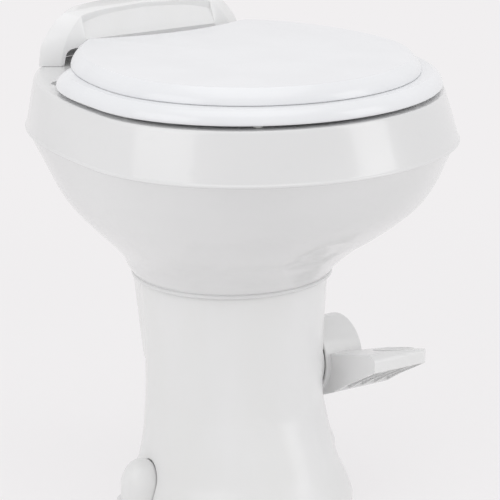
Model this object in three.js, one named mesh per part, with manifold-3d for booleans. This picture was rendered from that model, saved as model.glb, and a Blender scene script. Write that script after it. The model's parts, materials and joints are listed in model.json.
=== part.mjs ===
// A gravity-flush toilet for a motor home, 18 inches tall: a ceramic bowl on a moulded
// plastic pedestal, with a seat, a lid, a foot pedal and the valves that the pedal works.
// Millimetres. Z is up, the floor is at z = 0, the front of the bowl points along -Y,
// and the pedal is on the +X side.
import * as THREE from 'three';
import { ConvexGeometry } from 'three/addons/geometries/ConvexGeometry.js';
import { mergeVertices } from 'three/addons/utils/BufferGeometryUtils.js';
import Module from 'manifold-3d';

const wasm = await Module();
wasm.setup();

// Sizes.
const GAP = 0.3; // clearance between pieces that touch
const FAR = 500; // longer than the whole part, for cuts that go right across it
const OVERRUN = 6; // how far a cut runs past the face that it opens
const ROUND_STEPS = 56; // facets round the large plans
const TURN_STEPS = 28; // facets round a turned piece
const SMALL_STEPS = 12; // facets round a screw, pin or bumper
const HOSE_SIDES = 12;
const TIP_STEPS = 6;
const OVAL_STEPS = 10;
const WELD = 1e-4; // corners closer than this are one corner
const ROUND_BEND = 2; // the bend of a true ellipse

// Plans are an ellipse in front and a squarer curve behind, measured from their centre.
const BAND_BASE = { half: 189, front: 165.5, rear: 265.5, centre: -50, bend: 2.5 };
const BAND_TAPER = { half: 13, front: 15.5, rear: 4.5, centre: -2, bend: 0 };
const BAND_TOP = {
  half: BAND_BASE.half - BAND_TAPER.half,
  front: BAND_BASE.front - BAND_TAPER.front,
  rear: BAND_BASE.rear - BAND_TAPER.rear,
  centre: BAND_BASE.centre - BAND_TAPER.centre,
  bend: BAND_BASE.bend - BAND_TAPER.bend,
};
const NECK = { half: 95.5, front: 89.5, rear: 92, centre: 5, bend: 2.2 };
const MOUTH = { half: 128, front: 120, rear: 116, centre: -50, bend: 2 };
const WAIST = { half: 86.5, front: 86.5, rear: 81, centre: 5, bend: 2.1 };
const COLLAR = { half: 91.5, front: 88, rear: 86, centre: 5, bend: 2.1 };
const FOOT = { half: 105, front: 136, rear: 94, centre: 5, bend: 2.2 };
const SEAT_EDGE = { half: BAND_TOP.half, front: 156, rear: 155.5, centre: -41, bend: 3.2 };
const SEAT_HOLE = { half: 108, front: 112, rear: 98, centre: -50, bend: 2.2 };
const LID_EDGE = { half: 159, front: 148, rear: 194, centre: -31, bend: 2.1 };
const LID_BACK = { half: 175, front: 190, rear: 162, centre: -31, bend: 12 };
const SEAT_BACK = { half: 94, front: 40, rear: 29.2, centre: 100, bend: 6 };
const SKIRT_TOP = { half: 82, front: 60, rear: 108, centre: 30, bend: 2 };
const SKIRT_BASE = { half: 70, front: 60, rear: 86, centre: 30, bend: 2 };

const RIM_Z = 414; // top of the rim and the deck
const BAND_Z = 366; // underside of the bead round the band
const NECK_Z = 228; // underside of the bowl's neck
const RIM_ROUND = 4;
const BEAD_HEIGHT = 4;
const BEAD_OUT = 1.6;
const SHELL_WALL = 7; // ceramic of the outer shell
const BASIN_WALL = 8; // ceramic of the basin
const DECK_THICK = 8;
const NECK_BEAD = 1.4;
const SLANT_SHARE = 1.25; // a wall measured level, where it leans, to the wall itself
const OUTLET_TOP_Z = 200;
const SCALLOP_X = 135; // dips in the deck at the sides of the hinges
const SCALLOP_Y = 91;
const SCALLOP_R = 13;
const SCALLOP_DEEP = 5;
const DISH_Y = -132; // shallow dish pressed into the front of the underside
const DISH_Z = 273;
const DISH_HALF = 33;
const DISH_LONG = 38;
const DISH_ROUND = 6;
const DISH_DEEP = 2.2;
const DISH_LEAN = 57; // degrees from level to the slope that the dish is sunk in

const PIVOT_Y = 12; // axis of the pedal, its shaft and the flush ball
const PIVOT_Z = 123;
const BALL_R = 62;
const BALL_WALL = 3.5;
const BALL_SPREAD = 34; // degrees from the middle of the ball to its edge
const OUTLET_R = 30;
const OUTLET_WALL = 8;
const FLANGE_R = 58;
const FLANGE_THICK = 6.5;

const CHAMBER_R = 65;
const CHAMBER_WALL = 3.5;
const CHAMBER_LID_Z = 170;
const CHAMBER_LID_THICK = 5;
const CHAMBER_LID_HOLE_R = 45;
const CHAMBER_SHOULDER_Z = 100;
const DRAIN_R = 38;
const DRAIN_Z = 62;
const FOOT_FLANGE_R = 72;
const FOOT_FLANGE_THICK = 4;
const SEAL_OUTER_R = 54;
const SEAL_THICK = 5.4;

const PEDESTAL_WALL = 4.5;
const FOOT_ROUND = 3;
const FOOT_EDGE_Z = 15;
const FLARE_TOP_Z = 107;
const WAIST_Z = 135;
const PEDESTAL_TOP_Z = NECK_Z - GAP;
const COLLAR_THICK = 6;
const COLLAR_IN = 12;
const FLOOR_PLATE = 8;
const FLOOR_HOLE_R = 60;

const BOLT_X = 103;
const BOLT_R = 3.9;
const BOLT_HOLE_R = 4.6;
const BOLT_TOP_Z = 38;
const EAR_R = 24;
const POCKET_R = 21;
const POCKET_TOP_Z = 56.2;
const SEATING_Z = 14; // top of the ear that the bolt pulls down
const WASHER_R = 12;
const WASHER_THICK = 2;
const NUT_R = 7.5;
const NUT_THICK = 6;
const COVER_R = 20;
const COVER_WALL = 2.2;
const COVER_TOP_Z = 55;
const COVER_DOME = 25;

const SHAFT_R = 5;
const BUSH_R = 9.5;
const BUSH_LENGTH = 9;
const LUG_X = 25; // inner face of the arms that carry the flush ball
const LUG_THICK = 6;
const LUG_R = 10;
const BOSS_R = 35;
const BOSS_START_X = 71;
const BOSS_END_X = 89.5;
const CARTRIDGE_R = 24;
const CARTRIDGE_BORE_R = 15;
const CARTRIDGE_END_X = 101;
const CARTRIDGE_FLOOR = 4;
const SPRING_R = 10.5;
const SPRING_WIRE_R = 1.2;
const SPRING_TURNS = 6;

const HUB_R = 37.5;
const HUB_WALL = 3;
const HUB_START_X = 90;
const HUB_END_X = 134;
const HUB_WEB = 5;
const HUB_EDGE = 2.5;
const LEVER_START_X = 95;
const LEVER_END_X = 162;
const LEVER_WALL = 3;
const LEVER_RIB = 2.2;
const LEVER_RIBS = 3;
const LEVER_TIP_Y = -97;
const LEVER_TIP_LOW_Z = 135;
const LEVER_TIP_HIGH_Z = 145;
const LEVER_NOSE_Y = -95;
const LEVER_NOSE_Z = 147.6;
const LEVER_TOP_Y = -88;
const LEVER_TOP_Z = 150.3;
const LEVER_ROOT_Z = 133.5;
const LEVER_MID_Y = -50;
const LEVER_MID_Z = 109;
const LEVER_HEEL_Y = -11;
const LEVER_HEEL_Z = 88;
const GRIP_HALF_X = 19;
const GRIP_HALF_Y = 22;
const GRIP_LINE = 2.6;
const GRIP_RISE = 0.9;
const GRIP_X = 141;
const GRIP_Y = -66;

const SEAT_Z = 418; // underside of the seat
const SEAT_THICK = 13.6;
const LID_Z = SEAT_Z + SEAT_THICK + GAP; // lower edge of the lid
const LID_THICK = 15;
const LID_ROUND = 10;
const LID_THIN_SHARE = 0.05; // how much thinner the lid is at its front than at its back
const LID_SKIN = 5;
const LID_RIM_WIDTH = 12;
const SCOOP_HALF = 88; // the hollow curve of the lid's back edge
const SCOOP_DEEP = 19;
const SEAT_ROLL = 9.5;
const BUMPER_R = 4.5;
const BUMPER_FRONT_X = 86;
const BUMPER_FRONT_Y = -163;
const BUMPER_SIDE_IN = 17;
const BUMPER_SIDE_Y = -66;

const HINGE_Y = 124;
const HINGE_Z = 425.5;
const HINGE_PIN_R = 3;
const POST_X = 60;
const POST_HALF = 7;
const POST_ROUND = 6.4;
const POST_BACK = 2.13; // how far a post's foot goes behind its pin
const HINGE_BOLT_R = 4;
const HINGE_BOLT_DROP = 22;
const HINGE_BOLT_CLEAR = 1.2;
const KNUCKLE = 13; // width of the seat's and the lid's knuckles beside a post
const NOTCH_Y = 114;
const KNUCKLE_R = 6;
const KNUCKLE_BACK = 3;
const KNUCKLE_RISE = 5;

const SHROUD_HALF = 117;
const SHROUD_FRONT_Y = 151;
const SHROUD_LEAN = 14;
const SHROUD_SIDE_Y = 170;
const SHROUD_BACK_Y = 209;
const SHROUD_TOP_Z = 466;
const SHROUD_WALL = 3;
const SHROUD_LIP_Z = 431.5; // lower edge of its front, above the hinges
const MOUTH_SLOPES = [[96.4, 408], [94.6, 424], [91, 429.5], [85, SHROUD_LIP_Z]]; // half width and height
const PANEL_Z = 439.5; // lower edge of the flat pressed into its front
const PANEL_RUN = 13; // how far the flat goes back
const PANEL_RISE = 20; // while it goes up this far
const PANEL_LENGTH = 45;
const LEDGE_IN = 0.5;

const SKIRT_WALL = 3;
const SKIRT_LOW_Z = 129;
const SKIRT_STEP = 4;

const HOSE_R = 5;
const HOSE_X = 20;
const BREAKER_Y = 179;

const BREAKER_HALF = 9;
const BREAKER_BASE = 14;
const BREAKER_R = 13;
const BREAKER_TOP_Z = 446;
const BREAKER_CAP_R = 14.5;
const BREAKER_CAP = 6;
const CLAMP_THICK = 2;
const CLAMP_WIDTH = 5;
const NOZZLE_FACE = 2.4;
const NOZZLE_FACE_R = 9;
const NOZZLE_Z = 392;
const NOZZLE_R = 6;
const NOZZLE_START_Y = 64;
const NOZZLE_END_Y = 84;
const RIM_HOSE_X = -4;
const HOSE_STEPS = 18;
const HOSE_ROOM = 1.6; // room round a hose where it goes through a wall
const CLAMP_CLEAR = 0.6;

const VALVE_X = 15;
const VALVE_HALF = 14;
const VALVE_FRONT_Y = 89.3;
const VALVE_BACK_Y = 106;
const VALVE_LOW_Z = 165;
const VALVE_TOP_Z = 205;
const VALVE_Y = 97.6;
const VALVE_SCREW_X = 6;
const VALVE_SCREW_LOW_Z = 171;
const VALVE_SCREW_HIGH_Z = 199;
const VALVE_SCREW_R = 2;
const VALVE_SCREW_END_Y = 82;
const VALVE_HEAD_R = 4;
const VALVE_HEAD_THICK = 2.4;
const PLUNGER_R = 3;
const PLUNGER_Z = 185;
const PLUNGER_BORE = 12;
const PLUNGER_TRAVEL = 3;
const PLUNGER_LENGTH = 26;
const PLUNGER_KNOB = 4;
const PLUNGER_KNOB_R = 5;
const INLET_R = 7;
const INLET_BORE_R = 4;
const INLET_NUT_R = 9;
const INLET_NUT = 6;
const INLET_LENGTH = 15;

const SKIRT_TOP_Z = 300;
const SKIRT_RISE_SHARE = 1.25;
const MOUTH_BEND_SHARE = 0.15;
const BEND_SHARE = 0.3; // where a rounded edge is halfway round, as a share of its size
const SEAL_LIP = 3;
const SEAL_STEP = 7;
const RING_THICK = 3.5;
const RING_SCREW_R = 2;
const RING_HEAD_R = 4.2;
const RING_HEAD_THICK = 3;
const RING_SCREW_FLOOR = 1.5;
const BUSH_END_X = 73;
const IDLER_END_X = 76;
const LUG_ARM_HALF = 8;
const ARC_STEPS = 5;
const HUB_POCKET = 12;
const HUB_SCREW_LENGTH = 12;
const HUB_SCREW_R = 2.2;
const HUB_SCREW_HEAD = 3.6;
const HUB_SCREW_HEAD_R = 8;
const CAP_THICK = 2.6;
const CAP_LEDGE = 2.5;
const CAP_EDGE = 1.2;
const SPRING_CURL_STEPS = 8;
const SPRING_SIDES = 5;
const LEVER_ROOT_Y = -20;
const LEVER_BACK_Y = -30;
const LEVER_BACK_Z = 96;
const LEVER_TIP_ROUND = 11;
const LEVER_TAPER = 6;
const LEVER_TAPER_X = 116;
const BAY_TOP_WALL = 4;
const BAY_TIP_WALL = 5;
const GRIP_BARS = 3;
const NUT_SIDES = 6;
const HINGE_NUT_R = 9;
const HINGE_NUT_THICK = 6;

// Ways of the two hoses as [y, z] pairs, from the valve to the breaker and from it to the rim.
const SUPPLY_BENDS = [
  [97.6, 211], [97.6, 217], [102, 232], [107.5, 248], [114, 266], [128, 300], [150, 345],
  [170, 388], [179, 402],
];
const RIM_BENDS = [[179, 404], [163, 394.5], [150, NOZZLE_Z], [110, NOZZLE_Z]];

// Height up the bowl's underside, then how far each size has gone from neck to band.
const UNDERSIDE_SHARES = [
  [0.03, 0.01, 0.01, 0.006, 0],
  [0.088, 0.072, 0.061, 0.029, 0.036],
  [0.169, 0.149, 0.129, 0.082, 0.164],
  [0.257, 0.271, 0.238, 0.188, 0.291],
  [0.36, 0.442, 0.435, 0.312, 0.436],
  [0.493, 0.641, 0.633, 0.506, 0.618],
  [0.61, 0.768, 0.782, 0.653, 0.745],
  [0.75, 0.867, 0.891, 0.765, 0.836],
  [0.86, 0.925, 0.94, 0.87, 0.89],
  [0.94, 0.97, 0.975, 0.95, 0.94],
];
// Depth down the basin, then how far its plan has gone from the mouth to the outlet.
const BASIN_SHARES = [
  [0.17, 0.02], [0.336, 0.1], [0.526, 0.3], [0.692, 0.54], [0.834, 0.75], [0.943, 0.91], [1, 1],
];
// Height up the foot's flare, then how far each size has gone from the foot to the waist.
const FLARE_SHARES = [
  [0.141, 0.216, 0.141, 0.46], [0.326, 0.54, 0.404, 0.85], [0.609, 0.81, 0.657, 1],
  [0.826, 0.91, 0.87, 1], [1, 0.98, 0.99, 1],
];
// Height from the waist to the collar, then how far the plan has gone.
const STEM_SHARES = [[0.33, 0.1], [0.72, 0.6]];
// Inset and height of the lid's rolled edge, as shares of its round and its thickness.
const LID_ROLL_SHARES = [
  [0.02, 0], [0, 0.05], [0.03, 0.14], [0.12, 0.31], [0.27, 0.49], [0.47, 0.67], [0.72, 0.84], [1, 1],
];
// The same for the seat's outer edge, and for the edge of its hole.
const SEAT_ROLL_SHARES = [
  [0.12, 0], [0, 0.15], [0.12, 0.45], [0.3, 0.65], [0.6, 0.84], [1, 1],
];
const SEAT_HOLE_SHARES = [[0.15, 0], [0, 0.3], [0.3, 0.8], [1, 1]];
// Outline of the cover over the hinges: half width, height and setback from its front
// edge, as shares of its half width, its height and its lean.
const COVER_CREASE_SHARES = [[0.85, 0, 0.5], [0.835, 0.265, 0.43], [0.79, 0.535, 0.39], [0.714, 0.76, 0.464]];
const COVER_LEDGE_SHARES = [[0.637, 0.8955, 0.607], [0.5, 0.946, 0.786], [0.34, 0.973, 0.907], [0, 1, 1]];
const COVER_FOLD_SHARES = [[0.635, 0.487, 0]];
const COVER_SIDE_SHARES = [
  [1, 0], [0.985, 0.3], [0.955, 0.49], [0.915, 0.62], [0.86, 0.77], [0.81, 0.87], [0.75, 0.935],
  [0.68, 0.97], [0, 1],
];
// Outline of a bolt's cap: radius and height, as shares of its radius and its dome.
const COVER_DOME_SHARES = [[1, 0], [0.97, 0.2], [0.83, 0.5], [0.6, 0.78], [0.3, 0.95], [0, 1]];
const CAP_INNER_SHARES = [[1, 0], [0.8, 0.5], [0.5, 0.8], [0, 1]];
// The curve round the hinge cover's back: how far in from the side, and how far back.
const COVER_BACK_SHARES = [[1, 0], [0.855, 0.38], [0.69, 0.68], [0.5, 0.86], [0.25, 0.96]];

// Sizes that follow from the ones above.
const hingeBoltTop = HINGE_Z - HINGE_PIN_R - HINGE_BOLT_CLEAR;
const postBoltY = HINGE_Y - POST_BACK;
const bandUnder = {
  ...BAND_BASE,
  half: BAND_BASE.half - BEAD_OUT - BEAD_OUT,
  front: BAND_BASE.front - BEAD_OUT - BEAD_OUT,
  rear: BAND_BASE.rear - BEAD_OUT - BEAD_OUT,
};
const lipZ = PIVOT_Z + Math.sqrt((BALL_R + GAP) ** 2 - (OUTLET_R + SEAL_LIP) ** 2);
const chamberTop = CHAMBER_LID_Z + CHAMBER_LID_THICK;
const sealLow = chamberTop + GAP;
const sealTop = sealLow + SEAL_THICK;
const flangeLow = sealTop + GAP;
const flangeTop = flangeLow + FLANGE_THICK;
const ringLow = flangeTop + GAP;
const ringTop = ringLow + RING_THICK;
const ringScrewLow = CHAMBER_LID_Z + RING_SCREW_FLOOR;
const ringScrewReach = (FLANGE_R + CHAMBER_R + CHAMBER_WALL) / 2;
const scoopR = (SCOOP_HALF ** 2 + SCOOP_DEEP ** 2) / (SCOOP_DEEP + SCOOP_DEEP);
const scoopCentre = LID_BACK.centre + LID_BACK.rear - SCOOP_DEEP + scoopR;
const leverSlope = (LEVER_TOP_Z - LEVER_ROOT_Z) / (LEVER_ROOT_Y - LEVER_TOP_Y);
const leverTilt = THREE.MathUtils.radToDeg(Math.atan(leverSlope));
const leverTopAt = (y) => LEVER_ROOT_Z + leverSlope * (LEVER_ROOT_Y - y);
const boltPlaces = [-BOLT_X, BOLT_X];
const valveScrewPlaces = [[VALVE_SCREW_X, VALVE_SCREW_LOW_Z], [VALVE_SCREW_X, VALVE_SCREW_HIGH_Z]];
const bumperPlaces = {
  front_left: [-BUMPER_FRONT_X, BUMPER_FRONT_Y],
  front_right: [BUMPER_FRONT_X, BUMPER_FRONT_Y],
  side_left: [BUMPER_SIDE_IN - BAND_TOP.half, BUMPER_SIDE_Y],
  side_right: [BAND_TOP.half - BUMPER_SIDE_IN, BUMPER_SIDE_Y],
};

// Materials.
const paint = (color, roughness, metalness = 0) =>
  new THREE.MeshStandardMaterial({ color, roughness, metalness });
const ceramic = () => paint(0xe9eaeb, 0.12);
const whitePlastic = () => paint(0xe8e8e7, 0.28);
const seatPlastic = () => paint(0xedeeef, 0.2);
const greyPlastic = () => paint(0xb9bcbf, 0.45);
const blackPlastic = () => paint(0x2b2c2e, 0.5);
const rubber = () => paint(0x1f1f20, 0.85);
const paleRubber = () => paint(0xdcdcd9, 0.7);
const steel = () => paint(0xb8babd, 0.32, 1);
const brass = () => paint(0xb9954f, 0.35, 1);

// Ways of making shapes.
const group = new THREE.Group();

function add(name, geometry, material, place = [0, 0, 0]) {
  const mesh = new THREE.Mesh(geometry, material);
  mesh.name = name;
  mesh.position.set(...place);
  group.add(mesh);
  return mesh;
}

function toSolid(geometry) {
  const bare = geometry.clone();
  bare.deleteAttribute('normal');
  bare.deleteAttribute('uv');
  const merged = mergeVertices(bare, WELD);
  const corners = [...merged.index.array];
  const faces = [];
  for (let i = 0; i < corners.length; i += 3) {
    const [a, b, c] = corners.slice(i, i + 3);
    if (a !== b && b !== c && c !== a) faces.push(a, b, c);
  }
  return new wasm.Manifold(new wasm.Mesh({
    numProp: 3,
    vertProperties: new Float32Array(merged.attributes.position.array),
    triVerts: new Uint32Array(faces),
  }));
}

function toGeometry(solid) {
  const mesh = solid.getMesh();
  const geometry = new THREE.BufferGeometry();
  geometry.setAttribute('position', new THREE.BufferAttribute(mesh.vertProperties, mesh.numProp));
  geometry.setIndex(new THREE.BufferAttribute(mesh.triVerts, 1));
  geometry.computeVertexNormals();
  return geometry;
}

const mix = (from, to, share) => from + (to - from) * share;

function mixPlan(from, to, share) {
  const plan = {};
  for (const key of Object.keys(from)) plan[key] = mix(from[key], to[key], share);
  return plan;
}

function grow(plan, by) {
  return { ...plan, half: plan.half + by, front: plan.front + by, rear: plan.rear + by };
}

const circle = (radius, centre = PIVOT_Y) =>
  ({ half: radius, front: radius, rear: radius, centre, bend: ROUND_BEND });

function planPoint(plan, angle) {
  const along = Math.cos(angle);
  const across = Math.sin(angle);
  const reach = across < 0 ? plan.front : plan.rear;
  const power = across < 0 ? 1 : ROUND_BEND / plan.bend;
  return [
    plan.half * Math.sign(along) * Math.abs(along) ** power,
    plan.centre + reach * Math.sign(across) * Math.abs(across) ** power,
  ];
}

// A body with one plan at each height: a lathe whose rings are moved onto their plans.
// Closed sections go round a ring of material, open ones end in a middle point.
function body(sections, closed, steps = ROUND_STEPS) {
  const rows = closed
    ? [...sections, sections[0]]
    : [{ ...sections[0], tip: true }, ...sections, { ...sections.at(-1), tip: true }];
  const profile = rows.map((row) => new THREE.Vector2(row.tip ? 0 : 1, row.z));
  const geometry = new THREE.LatheGeometry(profile, steps);
  const position = geometry.attributes.position;
  for (let i = 0; i < position.count; i += 1) {
    const row = rows[i % rows.length];
    const turn = Math.floor(i / rows.length) % steps;
    const angle = (turn / steps) * 2 * Math.PI;
    const [x, y] = row.tip ? [0, row.plan.centre] : planPoint(row.plan, angle);
    position.setXYZ(i, x, y, row.z);
  }
  return positive(toSolid(geometry));
}

// Every second row, for the hidden side of a wall.
const thinned = (rows) => rows.filter((_, i) => i % 2 === 1);

function positive(solid) {
  if (solid.volume() > 0) return solid;
  throw new Error('a body is inside out');
}

const column = (plan, low, high, steps = ROUND_STEPS) =>
  body([{ plan, z: low }, { plan, z: high }], false, steps);

// A turned piece from [radius, height] pairs, standing on Z at the pivot or elsewhere.
function turned(points, x = 0, y = PIVOT_Y, steps = TURN_STEPS) {
  const profile = points.map(([radius, z]) => new THREE.Vector2(radius, z));
  const geometry = new THREE.LatheGeometry(profile, steps);
  geometry.rotateX(Math.PI / 2);
  geometry.translate(x, y, 0);
  return toSolid(geometry);
}

// The same with its axis along X, at the height of the pivot or elsewhere.
function turnedAlongX(points, y = PIVOT_Y, z = PIVOT_Z, steps = TURN_STEPS) {
  const profile = points.map(([radius, x]) => new THREE.Vector2(radius, x));
  const geometry = new THREE.LatheGeometry(profile, steps);
  geometry.rotateZ(-Math.PI / 2);
  geometry.translate(0, y, z);
  return toSolid(geometry);
}

const ring = (inner, outer, low, high) =>
  [[inner, low], [outer, low], [outer, high], [inner, high], [inner, low]];
const rod = (radius, low, high) => [[0, low], [radius, low], [radius, high], [0, high]];

function block(x0, x1, y0, y1, z0, z1) {
  const geometry = new THREE.BoxGeometry(x1 - x0, y1 - y0, z1 - z0);
  geometry.translate((x0 + x1) / 2, (y0 + y1) / 2, (z0 + z1) / 2);
  return toSolid(geometry);
}

function hose(points, radius, steps, sides = HOSE_SIDES) {
  const outline = new THREE.Shape();
  for (let i = 0; i < sides; i += 1) {
    const angle = (i / sides) * 2 * Math.PI;
    const corner = [radius * Math.cos(angle), radius * Math.sin(angle)];
    if (i === 0) outline.moveTo(...corner);
    else outline.lineTo(...corner);
  }
  const places = points.map((point) => new THREE.Vector3(...point));
  const path = new THREE.CatmullRomCurve3(places, false, 'centripetal');
  return toSolid(new THREE.ExtrudeGeometry(outline, { steps, extrudePath: path, bevelEnabled: false }));
}

// A prism along X from [y, z] corners.
function prismAlongX(corners, x0, x1) {
  const shape = new THREE.Shape(corners.map(([y, z]) => new THREE.Vector2(y, z)));
  const geometry = new THREE.ExtrudeGeometry(shape, { depth: x1 - x0, bevelEnabled: false });
  geometry.rotateX(Math.PI / 2);
  geometry.rotateZ(Math.PI / 2);
  geometry.translate(x0, 0, 0);
  return toSolid(geometry);
}

// The same along Y from [x, z] corners, and standing on Z from [x, y] corners.
function prismAlongY(corners, y0, y1) {
  const shape = new THREE.Shape(corners.map(([x, z]) => new THREE.Vector2(x, z)));
  const geometry = new THREE.ExtrudeGeometry(shape, { depth: y1 - y0, bevelEnabled: false });
  geometry.rotateX(Math.PI / 2);
  geometry.translate(0, y1, 0);
  return toSolid(geometry);
}

function prismUp(corners, z0, z1) {
  const shape = new THREE.Shape(corners.map(([x, y]) => new THREE.Vector2(x, y)));
  const geometry = new THREE.ExtrudeGeometry(shape, { depth: z1 - z0, bevelEnabled: false });
  geometry.translate(0, 0, z0);
  return toSolid(geometry);
}

function turnedAlongY(points, x, z, steps = SMALL_STEPS) {
  const profile = points.map(([radius, y]) => new THREE.Vector2(radius, y));
  const geometry = new THREE.LatheGeometry(profile, steps);
  geometry.translate(x, 0, z);
  return toSolid(geometry);
}

function arc(radius, from, to, steps) {
  return Array.from({ length: steps + 1 }, (_, i) => {
    const angle = THREE.MathUtils.degToRad(mix(from, to, i / steps));
    return [radius * Math.sin(angle), PIVOT_Z + radius * Math.cos(angle)];
  });
}

// Bowl.
function undersideRows(by) {
  const low = grow(NECK, by);
  const high = grow(bandUnder, by);
  return UNDERSIDE_SHARES.map(([up, half, front, rear, centre]) => ({
    z: mix(NECK_Z, BAND_Z, up),
    plan: {
      half: mix(low.half, high.half, half),
      front: mix(low.front, high.front, front),
      rear: mix(low.rear, high.rear, rear),
      centre: mix(low.centre, high.centre, centre),
      bend: mix(low.bend, high.bend, half),
    },
  }));
}

function outerRows(by = 0) {
  const beadTop = BAND_Z + BEAD_HEIGHT;
  return [
    { plan: grow(NECK, NECK_BEAD + by), z: NECK_Z },
    { plan: grow(NECK, NECK_BEAD + by), z: NECK_Z + NECK_BEAD + NECK_BEAD },
    ...undersideRows(by).slice(1),
    { plan: grow(bandUnder, by), z: BAND_Z },
    { plan: grow(BAND_BASE, by), z: BAND_Z + BEAD_OUT },
    { plan: grow(BAND_BASE, by), z: beadTop - BEAD_OUT },
    { plan: grow(BAND_BASE, by - BEAD_OUT), z: beadTop },
    { plan: grow(BAND_TOP, by), z: RIM_Z - RIM_ROUND },
    { plan: grow(BAND_TOP, by - RIM_ROUND * BEND_SHARE), z: RIM_Z - RIM_ROUND * BEND_SHARE },
    { plan: grow(BAND_TOP, by - RIM_ROUND), z: RIM_Z },
  ];
}

function basinRows(by) {
  const top = RIM_Z - RIM_ROUND;
  return BASIN_SHARES.map(([down, share]) => ({
    plan: grow(mixPlan(MOUTH, circle(OUTLET_R), share), by),
    z: mix(top, OUTLET_TOP_Z, down),
  }));
}

function bowlSolid() {
  const slanted = SHELL_WALL * SLANT_SHARE;
  const basinOut = BASIN_WALL * SLANT_SHARE;
  const tube = OUTLET_R + OUTLET_WALL;
  return body([
    ...outerRows(),
    { plan: grow(MOUTH, RIM_ROUND), z: RIM_Z },
    { plan: grow(MOUTH, RIM_ROUND * MOUTH_BEND_SHARE), z: RIM_Z - RIM_ROUND * BEND_SHARE },
    { plan: MOUTH, z: RIM_Z - RIM_ROUND },
    ...basinRows(0),
    { plan: circle(OUTLET_R), z: flangeLow },
    { plan: circle(FLANGE_R), z: flangeLow },
    { plan: circle(FLANGE_R), z: flangeTop },
    { plan: circle(tube), z: flangeTop },
    { plan: circle(tube), z: OUTLET_TOP_Z },
    ...thinned(basinRows(basinOut)).reverse(),
    { plan: grow(MOUTH, basinOut), z: RIM_Z - DECK_THICK },
    { plan: grow(BAND_TOP, -slanted), z: RIM_Z - DECK_THICK },
    { plan: grow(bandUnder, -slanted), z: BAND_Z },
    ...thinned(undersideRows(-slanted)).reverse(),
    { plan: grow(NECK, -slanted), z: NECK_Z },
  ], true);
}

const supplyRoute = [
  [HOSE_X, VALVE_Y, VALVE_TOP_Z + GAP],
  ...SUPPLY_BENDS.map(([y, z]) => [HOSE_X, y, z]),
  [HOSE_X, BREAKER_Y, RIM_Z],
];
const rimRoute = [
  [RIM_HOSE_X, BREAKER_Y, RIM_Z],
  ...RIM_BENDS.map(([y, z]) => [RIM_HOSE_X, y, z]),
  [RIM_HOSE_X, NOZZLE_END_Y + GAP, NOZZLE_Z],
];

function makeBowl() {
  let solid = bowlSolid();
  const bolt = rod(HINGE_BOLT_R + GAP, RIM_Z - DECK_THICK - OVERRUN, RIM_Z + OVERRUN);
  for (const side of [-1, 1]) {
    solid = solid.subtract(turned(bolt, side * POST_X, postBoltY, SMALL_STEPS));
    const dip = rod(SCALLOP_R, RIM_Z - SCALLOP_DEEP, RIM_Z + OVERRUN);
    solid = solid.subtract(turned(dip, side * SCALLOP_X, SCALLOP_Y));
  }
  const supplyHole = [...supplyRoute, [HOSE_X, BREAKER_Y, RIM_Z + OVERRUN]];
  const rimHole = [[RIM_HOSE_X, BREAKER_Y, RIM_Z + OVERRUN], ...rimRoute.slice(0, 3)];
  for (const route of [supplyHole, rimHole]) {
    solid = solid.subtract(hose(route, HOSE_R + HOSE_ROOM, HOSE_STEPS));
  }
  const dish = new THREE.SphereGeometry(1, TURN_STEPS, SMALL_STEPS);
  dish.scale(DISH_HALF, DISH_ROUND, DISH_LONG);
  dish.translate(0, DISH_DEEP - DISH_ROUND, 0);
  dish.rotateX(THREE.MathUtils.degToRad(DISH_LEAN));
  dish.translate(0, DISH_Y, DISH_Z);
  solid = solid.subtract(toSolid(dish));
  const nozzleHole = rod(NOZZLE_R + GAP, NOZZLE_START_Y - OVERRUN, NOZZLE_END_Y);
  return solid.subtract(turnedAlongY(nozzleHole, RIM_HOSE_X, NOZZLE_Z));
}

add('bowl', toGeometry(makeBowl()), ceramic());

// Pedestal.
function flareRows(by) {
  return FLARE_SHARES.map(([up, half, front, rear]) => ({
    z: mix(FOOT_EDGE_Z, FLARE_TOP_Z, up),
    plan: grow({
      half: mix(FOOT.half, WAIST.half, half),
      front: mix(FOOT.front, WAIST.front, front),
      rear: mix(FOOT.rear, WAIST.rear, rear),
      centre: WAIST.centre,
      bend: mix(FOOT.bend, WAIST.bend, half),
    }, by),
  }));
}

function stemRows(by) {
  return STEM_SHARES.map(([up, share]) => ({
    z: mix(WAIST_Z, PEDESTAL_TOP_Z, up),
    plan: grow(mixPlan(WAIST, COLLAR, share), by),
  }));
}

function standRows(by) {
  return [
    { plan: grow(FOOT, by), z: FOOT_EDGE_Z },
    ...flareRows(by),
    { plan: grow(WAIST, by), z: WAIST_Z },
    ...stemRows(by),
  ];
}

function standOuter(by = 0) {
  return body([
    { plan: grow(FOOT, by - FOOT_ROUND), z: 0 },
    { plan: grow(FOOT, by), z: FOOT_ROUND },
    ...standRows(by),
    { plan: grow(COLLAR, by), z: PEDESTAL_TOP_Z },
  ], false);
}

function standShell() {
  const wall = -PEDESTAL_WALL;
  return body([
    { plan: grow(FOOT, -FOOT_ROUND), z: 0 },
    { plan: FOOT, z: FOOT_ROUND },
    ...standRows(0),
    { plan: COLLAR, z: PEDESTAL_TOP_Z },
    { plan: grow(COLLAR, -COLLAR_IN), z: PEDESTAL_TOP_Z },
    { plan: grow(COLLAR, -COLLAR_IN), z: PEDESTAL_TOP_Z - COLLAR_THICK },
    { plan: grow(COLLAR, wall), z: PEDESTAL_TOP_Z - COLLAR_THICK },
    ...thinned(standRows(wall)).reverse(),
    { plan: grow(FOOT, wall), z: FLOOR_PLATE },
    { plan: circle(FLOOR_HOLE_R), z: FLOOR_PLATE },
    { plan: circle(FLOOR_HOLE_R), z: 0 },
  ], true);
}

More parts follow.
